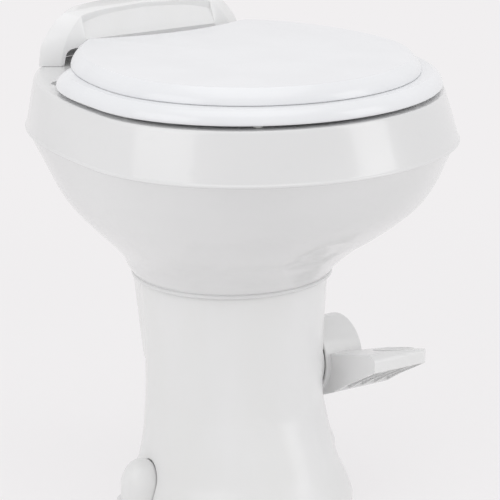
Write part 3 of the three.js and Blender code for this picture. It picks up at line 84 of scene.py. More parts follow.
band_base = plan(189, 165.5, 265.5, -50, 2.5)
band_top = plan(176, 150, 261, -48, 2.5)
neck = plan(95.5, 89.5, 92, 5, 2.2)
mouth = plan(128, 120, 116, -50)
waist = plan(86.5, 86.5, 81, 5, 2.1)
collar = plan(91.5, 88, 86, 5, 2.1)
foot = plan(105, 136, 94, 5, 2.2)
RIM_Z = 414
BAND_Z = 366
NECK_Z = 228
RIM_ROUND = 4
BEAD_HEIGHT = 4
BEAD_OUT = 1.6
NECK_BEAD = 1.4
DECK_THICK = 8
SHELL_WALL = 8.75
BASIN_WALL = 10
PIVOT_Y = 12
PIVOT_Z = 123
OUTLET_R = 30
OUTLET_WALL = 8
OUTLET_TOP_Z = 200
FLANGE_R = 58
FLANGE_LOW_Z = 181
FLANGE_TOP_Z = 187.5
print("bowl band is", band_base["half"] * 2, "mm wide at its foot,", band_top["half"] * 2, "at its top")

# %% [markdown]
# ## One rule for the large pieces
#
# A caster or a moulder of such a bowl works from level sections. Each section here is a
# *plan*: a half ellipse in front and a squarer curve behind. A piece is a stack of plans,
# one at each height.
#
# The stack could be lofted by hand in Edit Mode or built from curves, but the rule is short:
# half width, reach to the front, reach to the rear, centre and squareness. So a Geometry
# Nodes tree does it, and changing one number in a table moves the whole surface.
#
# First come the tables. A helper rounds a corner between two straight walls, and another one
# runs a smooth curve through measured rows, as a draughtsman's spline does.

# %% Rows of plans
PLAN_KEYS = ("half", "front", "rear", "centre", "bend")
MOST_OF_HALF = 0.48
TINY = 1e-9


def between(first, second, share):
    return {key: first[key] + (second[key] - first[key]) * share for key in first}


def grown(shape, by):
    return {**shape, "half": shape["half"] + by, "front": shape["front"] + by, "rear": shape["rear"] + by}


def disc(radius, centre=PIVOT_Y):
    return plan(radius, radius, radius, centre)


def row(shape, height, rounding=0.0):
    return {**shape, "height": height, "rounding": rounding}


def spread(first, second):
    side = max(abs(first["half"] - second["half"]), abs(first["rear"] - second["rear"]))
    return math.hypot(side, first["height"] - second["height"]) + TINY


print("a plan half way between the band's two is", between(band_base, band_top, 0.5)["half"] * 2, "mm wide")

# %% Rounded corners and smooth curves
def rounded(rows, closed=False, bites=6):
    """Swaps each corner that has a rounding for a short arc of rows."""
    made = []
    for i, here in enumerate(rows):
        if here["rounding"] <= 0 or (not closed and i in (0, len(rows) - 1)):
            made.append(here)
            continue
        before, after = rows[i - 1], rows[(i + 1) % len(rows)]
        start = between(here, before, min(MOST_OF_HALF, here["rounding"] / spread(here, before)))
        end = between(here, after, min(MOST_OF_HALF, here["rounding"] / spread(here, after)))
        for k in range(bites + 1):
            t = k / bites
            made.append(between(between(start, here, t), between(here, end, t), t))
    return made


def flowing(rows, fine=5):
    """Runs a smooth curve through rows, with the first and last kept."""
    made = []
    for i in range(len(rows) - 1):
        a = rows[max(i - 1, 0)]
        b, c = rows[i], rows[i + 1]
        d = rows[min(i + 2, len(rows) - 1)]
        for k in range(fine):
            t = k / fine
            made.append({key: 0.5 * (
                2 * b[key] + (c[key] - a[key]) * t
                + (2 * a[key] - 5 * b[key] + 4 * c[key] - d[key]) * t ** 2
                + (3 * b[key] - a[key] - 3 * c[key] + d[key]) * t ** 3) for key in b})
    made.append(rows[-1])
    return made


def finer(points, fine=5):
    """The same curve through a table of shares."""
    curve = flowing([dict(enumerate(p)) for p in points], fine)
    return [tuple(p[i] for i in range(len(points[0]))) for p in curve]


corner = [row(disc(1), 0), row(disc(20), 0, RIM_ROUND), row(disc(20), 30)]
print("a corner becomes", len(rounded(corner)), "rows")

# %% [markdown]
# ## Sums on sockets
#
# A formula is hard to read as a chain of Math nodes. The small class below wraps a socket,
# so that `a * b + 1` in Python adds the nodes for it. It serves the Geometry Nodes tree of
# the plans and, later, all the finishes. Every other kind of node comes from one method,
# which takes the node's type, its settings, and what goes into its sockets.

# %% A socket that can be summed
class Wire:
    """An output socket that takes part in sums."""

    def __init__(self, bench, socket):
        self.bench = bench
        self.socket = socket

    def sum(self, operation, *others):
        return self.bench.node("ShaderNodeMath", {"operation": operation}, dict(enumerate((self, *others))))

    def __add__(self, other):
        return self.sum("ADD", other)

    def __sub__(self, other):
        return self.sum("SUBTRACT", other)

    def __mul__(self, other):
        return self.sum("MULTIPLY", other)

    def __truediv__(self, other):
        return self.sum("DIVIDE", other)

    def __pow__(self, other):
        return self.sum("POWER", other)

    __radd__ = __add__
    __rmul__ = __mul__

    def __rsub__(self, other):
        return self.bench.node("ShaderNodeMath", {"operation": "SUBTRACT"}, {0: other, 1: self})

    def __rtruediv__(self, other):
        return self.bench.node("ShaderNodeMath", {"operation": "DIVIDE"}, {0: other, 1: self})


print("a socket can be added, subtracted, multiplied, divided and raised")


# %% A bench that adds nodes
class Bench:
    """Adds nodes to one tree."""

    def __init__(self, tree):
        self.tree = tree

    def node(self, kind, settings=None, sockets=None, output=0):
        made = self.tree.nodes.new(kind)
        for name, value in (settings or {}).items():
            setattr(made, name, value)
        for name, value in (sockets or {}).items():
            self.join(made.inputs[name], value)
        return Wire(self, made.outputs[output]) if len(made.outputs) else made

    def join(self, socket, value):
        if isinstance(value, Wire):
            self.tree.links.new(value.socket, socket)
        else:
            socket.default_value = value


print("bench ready")

# %% [markdown]
# ## The tree that stacks plans
#
# Its input is a *profile*: one point for each row, which carries the sizes of the plan there.
# The tree makes a grid with as many rows, asks the profile for the sizes of each row, works
# out where the plan is at each turn, and moves the grid there. Merge by Distance closes the
# seam and the poles.

# %% Tree: stack of plans
def plan_tree():
    tree = bpy.data.node_groups.new("stack of plans", "GeometryNodeTree")
    tree.interface.new_socket("Piece", in_out="OUTPUT", socket_type="NodeSocketGeometry")
    tree.interface.new_socket("Profile", in_out="INPUT", socket_type="NodeSocketGeometry")
    tree.interface.new_socket("Steps round", in_out="INPUT", socket_type="NodeSocketInt")
    tree.interface.new_socket("Finish", in_out="INPUT", socket_type="NodeSocketMaterial")
    bench = Bench(tree)
    profile = bench.node("NodeGroupInput", output="Profile")
    steps = bench.node("NodeGroupInput", output="Steps round")
    finish = bench.node("NodeGroupInput", output="Finish")
    count = bench.node("GeometryNodeAttributeDomainSize", {"component": "MESH"}, {"Geometry": profile})
    columns = steps + 1
    grid = bench.node("GeometryNodeMeshGrid", None, {"Vertices X": count, "Vertices Y": columns})
    index = bench.node("GeometryNodeInputIndex")
    level = ((index + 0.5) / columns).sum("FLOOR")
    turn = index - level * columns

    def size(name):
        field = bench.node("GeometryNodeInputNamedAttribute", {"data_type": "FLOAT"}, {"Name": name})
        return bench.node("GeometryNodeSampleIndex", {"data_type": "FLOAT", "domain": "POINT"},
                          {"Geometry": profile, "Value": field, "Index": level})

    angle = turn / steps * (2 * math.pi)
    along, across = angle.sum("COSINE"), angle.sum("SINE")
    ahead = across.sum("LESS_THAN", 0.0)
    reach = size("rear") + (size("front") - size("rear")) * ahead
    power = ELLIPSE / (size("bend") + (ELLIPSE - size("bend")) * ahead)
    x = size("half") * along.sum("SIGN") * along.sum("ABSOLUTE") ** power
    y = size("centre") + reach * across.sum("SIGN") * across.sum("ABSOLUTE") ** power
    place = bench.node("ShaderNodeCombineXYZ", None, {"X": x, "Y": y, "Z": size("height")})
    moved = bench.node("GeometryNodeSetPosition", None, {"Geometry": grid, "Position": place})
    sealed = bench.node("GeometryNodeMergeByDistance", None, {"Geometry": moved, "Distance": WELD})
    real = bench.node("GeometryNodeRealizeInstances", None, {"Geometry": sealed})
    painted = bench.node("GeometryNodeSetMaterial", None, {"Geometry": real, "Material": finish})
    bench.node("NodeGroupOutput", None, {"Piece": painted})
    return tree


STACK = plan_tree()
print("tree", STACK.name, "has", len(STACK.nodes), "nodes")

# %% [markdown]
# ## From a tree to a plain mesh
#
# The export keeps meshes and drops instances and live trees. So a tree is run once, its
# result becomes the object's own mesh, and the modifier is taken off. A modifier's input is
# set by its socket's identifier, before the object is first evaluated.

# %% Run a tree
def put_in_scene(name, mesh):
    made = bpy.data.objects.new(name, mesh)
    bpy.context.scene.collection.objects.link(made)
    return made


def settled(piece):
    """The piece's own mesh becomes what its modifiers make, and they go."""
    bpy.context.view_layer.update()
    graph = bpy.context.evaluated_depsgraph_get()
    mesh = bpy.data.meshes.new_from_object(piece.evaluated_get(graph))
    piece.modifiers.clear()
    piece.data = mesh
    mesh.name = piece.name
    return piece


def run_tree(piece, tree, **inputs):
    """Inputs are named as in the tree, with _ for a space."""
    modifier = piece.modifiers.new(tree.name, "NODES")
    modifier.node_group = tree
    for item in tree.interface.items_tree:
        given = inputs.get(item.name.replace(" ", "_"))
        if item.in_out == "INPUT" and given is not None:
            modifier[item.identifier] = given
    return settled(piece)


def outward(piece):
    """Merges doubles and points every face outwards."""
    work = bmesh.new()
    work.from_mesh(piece.data)
    bmesh.ops.remove_doubles(work, verts=work.verts, dist=WELD)
    bmesh.ops.dissolve_degenerate(work, edges=work.edges, dist=WELD / 20)
    bmesh.ops.recalc_face_normals(work, faces=work.faces)
    work.to_mesh(piece.data)
    work.free()
    return piece


print("a tree can be run")


# %% A piece from its rows
def stacked(name, rows, steps=200, finish=None):
    """A piece from its rows of plans, in millimetres."""
    profile = bpy.data.meshes.new(name)
    profile.from_pydata([(0, 0, i * MM) for i in range(len(rows))], [], [])
    for key, unit in (*((k, MM) for k in ("half", "front", "rear", "centre", "height")), ("bend", 1)):
        sizes = profile.attributes.new(key, "FLOAT", "POINT")
        sizes.data.foreach_set("value", [r[key] * unit for r in rows])
    piece = run_tree(put_in_scene(name, profile), STACK, Steps_round=steps, Finish=finish)
    return outward(piece)


def pole(end):
    """A row drawn to a point, which closes an open stack."""
    return {**end, "half": 0.0, "front": 0.0, "rear": 0.0}


def filled(rows):
    return [pole(rows[0]), *rows, pole(rows[-1])]


def looped(rows):
    return [*rows, rows[0]]


print("a stack can be filled or looped")

# %% [markdown]
# ### Cut, join and shade
#
# Cuts and joins use the Boolean modifier in the same way as a tree: the result is kept, and
# the cutter is thrown away. Curved faces are then shaded smooth, and edges that are really
# sharp stay sharp.

# %% Cut, join and shade
def combine(piece, others, how="DIFFERENCE"):
    """Cuts the others out of the piece, joins them on, or keeps what they share."""
    for other in others:
        modifier = piece.modifiers.new("cut", "BOOLEAN")
        modifier.operation = how
        modifier.solver = "EXACT"
        modifier.object = other
        settled(piece)
        bpy.data.objects.remove(other)
    return piece


def smooth(piece, angle=32):
    """Shades the curved faces smooth and keeps the edges that are really sharp."""
    mesh = piece.data
    mesh.shade_smooth()
    mesh.set_sharp_from_angle(angle=math.radians(angle))
    return piece


print("pieces can be cut, joined and shaded")

# %% [markdown]
# ## Finishes: one recipe, many surfaces
#
# Nearly all of this object is white, so its finishes differ in quieter ways: how sharp the
# reflections are, how the surface waves, and how the tone drifts. A glaze pools and flows
# under gravity and has long soft waves. A moulding has a fine grain from the tool, and faint
# flow marks. Both start from the same helper, which mixes two close tones by a noise, moves
# the roughness a little with another one, and adds a fine bump.
#
# Patterns read Object coordinates in metres, so a scale of 100 gives a pattern of about a
# centimetre. Values that are the same all over stay on the shader's own sockets.

# %% Helpers for finishes
def tone(value):
    """A colour as it is seen, in 0 to 255, as Blender's linear one."""
    shades = []
    for channel in value:
        share = channel / 255
        shades.append(share / 12.92 if share <= 0.04045 else ((share + 0.055) / 1.055) ** 2.4)
    return (*shades, 1.0)


def new_finish(name, **constants):
    material = bpy.data.materials.new(name)
    material.use_nodes = True
    tree = material.node_tree
    tree.nodes.clear()
    bench = Bench(tree)
    shader = tree.nodes.new("ShaderNodeBsdfPrincipled")
    for socket, value in constants.items():
        shader.inputs[socket.replace("_", " ")].default_value = value
    bench.node("ShaderNodeOutputMaterial", None, {"Surface": Wire(bench, shader.outputs[0])})
    return material, bench, shader


def noise(bench, where, scale, detail=2.0, roughness=0.5):
    return bench.node("ShaderNodeTexNoise", {"noise_dimensions": "3D"},
                      {"Vector": where, "Scale": scale, "Detail": detail, "Roughness": roughness})


def mixed(bench, factor, first, second):
    made = bench.tree.nodes.new("ShaderNodeMix")
    made.data_type = "RGBA"
    for number, value in ((0, factor), (6, first), (7, second)):
        bench.join(made.inputs[number], value)
    return Wire(bench, made.outputs[2])


def soft_step(bench, value, low, high):
    """0 below low, 1 above high, with a soft climb between."""
    return bench.node("ShaderNodeMapRange", {"interpolation_type": "SMOOTHSTEP"},
                      {"Value": value, "From Min": low, "From Max": high, "To Min": 0.0, "To Max": 1.0})


def bumped(bench, shader, height, strength, distance):
    bump = bench.node("ShaderNodeBump", None, {"Strength": strength, "Distance": distance, "Height": height})
    bench.join(shader.inputs["Normal"], bump)


def object_place(bench):
    return bench.node("ShaderNodeTexCoord", output="Object")


print("tone of a white glaze:", [round(c, 3) for c in tone((233, 234, 235))])

# %% [markdown]
# ### Ceramic glaze
#
# Glaze is a thin layer of glass over a white body. Where it pools it is a little paler, and
# its surface has long soft waves from flowing in the kiln. A plain glossy shader would look
# like plastic, so the waves go into a bump and the coat gets heavier where the glaze pools.

# %% Ceramic glaze
GLAZE_PALE, GLAZE_DEEP, GLAZE_CLOUD = tone((227, 227, 227)), tone((223, 223, 223)), tone((218, 219, 219))
GLAZE_ROUGH, GLAZE_ROUGH_DRIFT, COAT_LEAST, COAT_DRIFT = 0.17, 0.05, 0.3, 0.15
CLOUD_SHARE, LONG_WAVE, SHORT_WAVE = 0.25, 0.8, 0.06


def glaze_finish():
    material, bench, shader = new_finish("white glaze", IOR=1.52, Coat_Roughness=0.09, Coat_IOR=1.5)
    place = object_place(bench)
    pooled = noise(bench, place, scale=9.0, detail=1.0)
    fine = noise(bench, place, scale=70.0, detail=3.0)
    pool = soft_step(bench, pooled, low=0.3, high=0.7)
    colour = mixed(bench, pool, GLAZE_DEEP, GLAZE_PALE)
    colour = mixed(bench, soft_step(bench, fine, low=0.62, high=0.8) * CLOUD_SHARE, colour, GLAZE_CLOUD)
    bench.join(shader.inputs["Base Color"], colour)
    bench.join(shader.inputs["Roughness"], fine * GLAZE_ROUGH_DRIFT + GLAZE_ROUGH)
    bench.join(shader.inputs["Coat Weight"], pooled * COAT_DRIFT + COAT_LEAST)
    long_waves = noise(bench, place, scale=26.0, detail=1.0) * LONG_WAVE
    waves = long_waves + noise(bench, place, scale=160.0, detail=1.0) * SHORT_WAVE
    bumped(bench, shader, waves, strength=0.06, distance=0.002)
    return material


GLAZE = glaze_finish()
print("made", GLAZE.name)

# %% [markdown]
# ### Moulded plastics
#
# The stand, the pedal and the covers are satin mouldings, and seat and lid are polished ones.
# Plastic keeps the fine grain of its tool and faint streaks along the way it flowed, so one
# recipe stretches a noise upwards for the streaks and adds a much finer one for the grain.

# %% Moulded plastics
MOULD_ROUGH_DRIFT, MOULD_ROUGH_GRAIN, MOULD_ROUGH_LESS = 0.06, 0.04, 0.05
FLOW_STRETCH = (1.0, 1.0, 0.35)


def moulded_finish(name, pale, deep, rough, grain=0.06, flow=0.05, **constants):
    """Flow marks run up the moulding; a fine grain comes from the tool."""
    material, bench, shader = new_finish(name, IOR=1.49, **constants)
    place = object_place(bench)
    stretched = bench.node("ShaderNodeMapping", None, {"Vector": place, "Scale": FLOW_STRETCH})
    drift = noise(bench, stretched, scale=14.0, detail=3.0)
    speck = noise(bench, place, scale=900.0, detail=2.0, roughness=0.6)
    colour = mixed(bench, soft_step(bench, drift, low=0.3, high=0.7), tone(deep), tone(pale))
    bench.join(shader.inputs["Base Color"], colour)
    uneven = drift * MOULD_ROUGH_DRIFT + speck * MOULD_ROUGH_GRAIN + (rough - MOULD_ROUGH_LESS)
    bench.join(shader.inputs["Roughness"], uneven)
    height = speck * grain + noise(bench, stretched, scale=30.0, detail=1.0) * flow
    bumped(bench, shader, height, strength=0.12, distance=0.0006)
    return material


SEAT_GLOSS = moulded_finish("seat gloss", (236, 237, 239), (233, 234, 236), rough=0.2, grain=0.015, flow=0.3,
                            Coat_Weight=0.1, Coat_Roughness=0.08)
WHITE_MOULDING = moulded_finish("white moulding", (237, 237, 237), (234, 234, 233), rough=0.25)
GREY_MOULDING = moulded_finish("grey moulding", (188, 191, 194), (180, 183, 186), rough=0.48, grain=0.3)
BLACK_MOULDING = moulded_finish("black moulding", (46, 47, 49), (38, 39, 41), rough=0.5, grain=0.4)
print("made four mouldings")

# %% [markdown]
# ### Rubbers
#
# The bumpers and the seals are rubber, which is matt, has tiny pores and a cloudy bloom on
# its skin. It needs little shine, so the specular level is low and the roughness is high.

# %% Rubbers
RUBBER_ROUGH, RUBBER_ROUGH_DRIFT = 0.62, 0.15


def rubber_finish(name, pale, deep):
    material, bench, shader = new_finish(name, IOR=1.45, Specular_IOR_Level=0.35)
    place = object_place(bench)
    bloom = noise(bench, place, scale=60.0, detail=4.0, roughness=0.6)
    pores = noise(bench, place, scale=1400.0, detail=2.0)
    colour = mixed(bench, soft_step(bench, bloom, low=0.35, high=0.75), tone(deep), tone(pale))
    bench.join(shader.inputs["Base Color"], colour)
    bench.join(shader.inputs["Roughness"], bloom * RUBBER_ROUGH_DRIFT + RUBBER_ROUGH)
    bumped(bench, shader, pores, strength=0.25, distance=0.0004)
    return material


PALE_RUBBER = rubber_finish("pale rubber", (221, 221, 218), (210, 210, 206))
BLACK_RUBBER = rubber_finish("black rubber", (36, 36, 37), (27, 27, 28))
print("made two rubbers")

# %% [markdown]
# ### Metals
#
# Bolts, pins and rings are zinc plated, which shows cloudy crystals, and the inlet is turned
# brass. Voronoi cells mixed with a noise give the crystals, and move tone and shine together.

# %% Metals
CELL_SHARE, CLOUD_OF_SPANGLE, METAL_ROUGH_DRIFT, LATHE_SCALE = 0.6, 0.3, 0.12, 1100.0


def metal_finish(name, pale, deep, rough, spangle):
    """Zinc plate has cloudy crystals; turned brass has a finer, softer drift."""
    material, bench, shader = new_finish(name, Metallic=1.0)
    place = object_place(bench)
    crystals = {"Vector": place, "Scale": spangle}
    cells = bench.node("ShaderNodeTexVoronoi", {"feature": "F1"}, crystals, "Distance")
    cloud = noise(bench, place, scale=spangle * CLOUD_OF_SPANGLE, detail=3.0)
    share = soft_step(bench, cells * CELL_SHARE + cloud * CELL_SHARE, low=0.25, high=0.8)
    bench.join(shader.inputs["Base Color"], mixed(bench, share, tone(deep), tone(pale)))
    bench.join(shader.inputs["Roughness"], share * METAL_ROUGH_DRIFT + rough)
    bumped(bench, shader, noise(bench, place, scale=LATHE_SCALE, detail=1.0), strength=0.15, distance=0.0002)
    return material


ZINC_STEEL = metal_finish("zinc plated steel", (196, 198, 202), (170, 173, 178), rough=0.27, spangle=420.0)
TURNED_BRASS = metal_finish("turned brass", (201, 164, 92), (178, 141, 74), rough=0.25, spangle=700.0)
print("made two metals")

# %% [markdown]
# ## The bowl
#
# A glazed bowl is cast in one piece: an outer shell, a flat deck on top and a basin inside,
# hollow between them. Seen from outside it is a flared cup under an upright band, with a
# small bead where they meet and a lip at the neck.
#
# The rows below go up the outside, over the rim, down the basin to the outlet, and back down
# inside the walls to the neck. Only the narrow ring under the neck, which rests on the stand
# and is never seen, is left open. The rows of the underside were measured as shares of the
# way from the neck to the band, so a smooth curve is run through them; the bead, the lip and
# the rim are corners with a rounding.

# %% Rows of the bowl
UNDERSIDE_SHARES = (
    (0.088, 0.072, 0.061, 0.029, 0.036), (0.169, 0.149, 0.129, 0.082, 0.164),
    (0.257, 0.271, 0.238, 0.188, 0.291), (0.36, 0.442, 0.435, 0.312, 0.436),
    (0.493, 0.641, 0.633, 0.506, 0.618), (0.61, 0.768, 0.782, 0.653, 0.745),
    (0.75, 0.867, 0.891, 0.765, 0.836), (0.86, 0.925, 0.94, 0.87, 0.89), (0.94, 0.97, 0.975, 0.95, 0.94),
)
BASIN_SHARES = ((0.17, 0.02), (0.336, 0.1), (0.526, 0.3), (0.692, 0.54), (0.834, 0.75), (0.943, 0.91), (1, 1))
LIP_TOP_SHARE, LIP_END_SHARE, BEAD_FOOT_SHARE, BAND_SWELL_SHARE, EDGE_SHARE = 2, 2.6, 0.6, 0.4, 1.2
band_under = grown(band_base, -2 * BEAD_OUT)


def underside_rows(by):
    low, high = grown(neck, by), grown(band_under, by)
    made = [row(low, NECK_Z + NECK_BEAD * LIP_END_SHARE)]
    for up, half, front, rear, centre in UNDERSIDE_SHARES:
        shares = {"half": half, "front": front, "rear": rear, "centre": centre, "bend": half}
        shape = {key: low[key] + (high[key] - low[key]) * shares[key] for key in PLAN_KEYS}
        made.append(row(shape, NECK_Z + (BAND_Z - NECK_Z) * up))
    return [*made, row(high, BAND_Z)]


def band_rows(by=0.0):
    """The outside of the bowl, from the lip of its neck to the edge of its rim."""
    lip, bead_top = grown(neck, NECK_BEAD + by), BAND_Z + BEAD_HEIGHT
    middle = between(band_base, band_top, 0.5)
    return [
        row(lip, NECK_Z, SMALL_ROUND), row(lip, NECK_Z + NECK_BEAD * LIP_TOP_SHARE, LIP_ROUND),
        *flowing(underside_rows(by), 6),
        row(grown(band_base, by - GAP), BAND_Z + BEAD_OUT * BEAD_FOOT_SHARE, FINE_ROUND),
        row(grown(band_base, by), bead_top - BEAD_OUT, SMALL_ROUND),
        row(grown(band_base, by - BEAD_OUT), bead_top, FINE_ROUND),
        row(grown(middle, by - BEAD_OUT * BAND_SWELL_SHARE), (bead_top + RIM_Z) / 2),
        row(grown(band_top, by), RIM_Z, RIM_ROUND * EDGE_SHARE),
    ]


print("the outside of the bowl has", len(band_rows()), "rows")


# %% The whole ring of the bowl
MOUTH_EDGE_SHARE = 1.4


def basin_rows(by=0.0):
    top = RIM_Z - RIM_ROUND
    return [row(grown(between(mouth, disc(OUTLET_R), share), by), top + (OUTLET_TOP_Z - top) * down)
            for down, share in BASIN_SHARES]


def bowl_rows():
    tube = disc(OUTLET_R + OUTLET_WALL)
    under_deck = row(grown(band_top, -SHELL_WALL), RIM_Z - DECK_THICK)
    inside = [under_deck, row(grown(band_under, -SHELL_WALL), BAND_Z)]
    return rounded([
        *band_rows(), row(mouth, RIM_Z, RIM_ROUND * MOUTH_EDGE_SHARE), *flowing(basin_rows(), 5),
        row(disc(OUTLET_R), FLANGE_LOW_Z, SMALL_ROUND), row(disc(FLANGE_R), FLANGE_LOW_Z, SMALL_ROUND),
        row(disc(FLANGE_R), FLANGE_TOP_Z, SMALL_ROUND), row(tube, FLANGE_TOP_Z), row(tube, OUTLET_TOP_Z),
        *basin_rows(BASIN_WALL)[::-1], row(grown(mouth, BASIN_WALL), RIM_Z - DECK_THICK),
        *inside, *underside_rows(-SHELL_WALL)[::-2], row(grown(neck, -SHELL_WALL), NECK_Z),
    ], closed=True)


print("the bowl has", len(bowl_rows()), "rows")

# %% [markdown]
# ### Dips, holes and the finger dish
#
# Two shallow scallops in the deck's edge give room to lift the lid, and a wide shallow dish
# is pressed into the front of the cup. The scallops are cut with a round-bottomed turned
# tool. The dish has no edge, so it is not cut: points near it are pushed in by a soft rule,
# which keeps the surface one smooth sheet.

# %% Turn a piece and press the dish
DISH_Y, DISH_Z, DISH_HALF, DISH_LONG, DISH_DEEP, DISH_LEAN, DISH_EDGE_SHARE = -132, 273, 33, 38, 2.2, 57, 0.55


def turned_up(name, points, x=0.0, y=PIVOT_Y, steps=64, finish=None):
    """A piece turned round an upright axis, from radius and height pairs with a rounding each."""
    rows = [row(disc(r, y), z, soft) for r, z, soft in points]
    piece = stacked(name, rounded(filled(rows)), steps, finish)
    piece.data.transform(Matrix.Translation((x * MM, 0, 0)))
    return piece


def press_dish(piece):
    """Pushes the front of the cup in, deepest in the middle of the dish."""
    lean = math.radians(DISH_LEAN)
    upward = Vector((0, -math.cos(lean), math.sin(lean)))
    inward = Vector((0, math.sin(lean), math.cos(lean)))
    middle = Vector((0, DISH_Y, DISH_Z))
    for vertex in piece.data.vertices:
        away = vertex.co / MM - middle
        reach = math.hypot(away.x / DISH_HALF, away.dot(upward) / DISH_LONG)
        if reach < 1 and vertex.normal.dot(inward) < 0:
            ease = min(1.0, (1 - reach) / DISH_EDGE_SHARE)
            vertex.co += inward * DISH_DEEP * MM * ease * ease * (3 - 2 * ease)


print("the dish is", DISH_DEEP, "mm deep")


# %% Make the bowl
SCALLOP_X, SCALLOP_Y, SCALLOP_R, SCALLOP_DEEP, SCALLOP_SLOPE, SCALLOP_ROUND = 135, 91, 13, 5, 2, 2.5
HINGE_Y, HINGE_Z, POST_X, POST_ROUND, POST_HOLE_R = 124, 425.5, 60, 6.4, 4.3
HOSE_X, RIM_HOSE_X, HOSE_HOLE_R, BREAKER_Y = 20, -4, 6.6, 179
HOLE_LOW_Z, HOLE_HIGH_Z = RIM_Z - 20, RIM_Z + 9


def deck_hole(name, radius, x, y, steps):
    return turned_up(name, [(radius, HOLE_LOW_Z, 0), (radius, HOLE_HIGH_Z, 0)], x, y, steps)


def make_bowl():
    piece = stacked("bowl shell", bowl_rows(), 240, GLAZE)
    press_dish(piece)
    scallop = [(SCALLOP_R - SCALLOP_SLOPE, RIM_Z - SCALLOP_DEEP, SCALLOP_ROUND), (SCALLOP_R, HOLE_HIGH_Z, 0)]
    cutters = []
    for side in (-1, 1):
        cutters.append(turned_up("dip", scallop, side * SCALLOP_X, SCALLOP_Y))
        cutters.append(deck_hole("post hole", POST_HOLE_R, side * POST_X, HINGE_Y - POST_ROUND / 3, 24))
    for x in (HOSE_X, RIM_HOSE_X):
        cutters.append(deck_hole("hose hole", HOSE_HOLE_R, x, BREAKER_Y, 32))
    combine(piece, cutters)
    return smooth(piece)


bowl = make_bowl()
print("bowl:", len(bowl.data.polygons), "faces")

# %% [markdown]
# ## The stand
#
# The stand is one moulding with a waist, a flared foot and a collar that the bowl sits on.
# It is a second stack of plans from the same tree. At each side a pocket is sunk into the
# foot for a floor bolt, and a push-on cap hides the nut.
#
# The flare of the foot was measured as shares of the way from foot to waist, because each
# side curves in its own way. A smooth curve runs through them.

# %% Rows of the stand
FLARE_SHARES = ((0.141, 0.216, 0.141, 0.46), (0.326, 0.54, 0.404, 0.85), (0.609, 0.81, 0.657, 1),
                (0.826, 0.91, 0.87, 1), (1, 0.98, 0.99, 1))
STEM_SHARES = ((0.33, 0.1), (0.72, 0.6))
FOOT_EDGE_Z, FLARE_TOP_Z, WAIST_Z, STAND_TOP_Z, FOOT_ROUND = 15, 107, 135, 227.7, 3


def stand_rows(by=0.0, fine=6):
    rows = [row(grown(foot, by), FOOT_EDGE_Z)]
    for up, half, front, rear in FLARE_SHARES:
        shares = {"half": half, "front": front, "rear": rear, "centre": 1, "bend": half}
        shape = {key: foot[key] + (waist[key] - foot[key]) * shares[key] for key in PLAN_KEYS}
        rows.append(row(grown(shape, by), FOOT_EDGE_Z + (FLARE_TOP_Z - FOOT_EDGE_Z) * up))
    rows.append(row(grown(waist, by), WAIST_Z))
    for up, share in STEM_SHARES:
        rows.append(row(grown(between(waist, collar, share), by), WAIST_Z + (STAND_TOP_Z - WAIST_Z) * up))
    return flowing([*rows, row(grown(collar, by), STAND_TOP_Z)], fine)


def stand_outside(by=0.0):
    low = [row(grown(foot, by - FOOT_ROUND), 0), row(grown(foot, by), 0, FOOT_ROUND * EDGE_SHARE)]
    return rounded([*low, *stand_rows(by)])


print("the outside of the stand has", len(stand_outside()), "rows")

# %% [markdown]
# ### Turned pieces that lie on their side, and domes
#
# The boss for the pedal's shaft is turned about an axis that runs from side to side, so it is
# made upright by the same tree and then laid over. The bolt pockets end in the same soft dome
# as the caps that stand in them, so one table of shares serves both.

# %% Turn a piece across, round a dome
CAP_DOME = 25
CAP_DOME_SHARES = ((1, 0), (0.97, 0.2), (0.83, 0.5), (0.6, 0.78), (0.3, 0.95), (0.13, 0.99), (0, 1))


def turned_across(name, points, y=PIVOT_Y, z=PIVOT_Z, steps=64, finish=None):
    """A piece turned round an axis along X, from radius and x pairs with a rounding each."""
    piece = turned_up(name, points, 0, 0, steps, finish)
    piece.data.transform(Matrix.Translation((0, y * MM, z * MM)) @ Matrix.Rotation(math.pi / 2, 4, "Y"))
    return piece


def dome(radius, top):
    """The rounded top of a bolt cap, and of the pocket that it stands in."""
    return [(max(radius * out, 0), top - CAP_DOME * (1 - up), 0) for out, up in finer(CAP_DOME_SHARES, 4)]


print("a dome has", len(dome(1, 0)), "rows")


# %% Make the stand
STAND_WALL, COLLAR_THICK, COLLAR_IN, FLOOR_PLATE, FLOOR_HOLE_R = 4.5, 6, 12, 8, 60
BOLT_X, EAR_R, POCKET_R, SEATING_Z, POCKET_TOP_Z, BOLT_HOLE_R = 103, 24, 21, 14, 56.2, 4.6
BOSS_R, BOSS_START_X, BOSS_END_X, BORE_R = 35, 71, 89.5, 24.3
EAR_ROUND, WELL_LOW_Z, ABOVE_SEATING = 1.5, 0.5, 0.02


def stand_shell():
    lip = grown(collar, -COLLAR_IN)
    return rounded([
        *stand_outside(), row(lip, STAND_TOP_Z, SMALL_ROUND), row(lip, STAND_TOP_Z - COLLAR_THICK),
        row(grown(collar, -STAND_WALL), STAND_TOP_Z - COLLAR_THICK), *stand_rows(-STAND_WALL, 2)[::-1],
        row(grown(foot, -STAND_WALL), FLOOR_PLATE), row(disc(FLOOR_HOLE_R), FLOOR_PLATE),
        row(disc(FLOOR_HOLE_R), 0),
    ], closed=True)


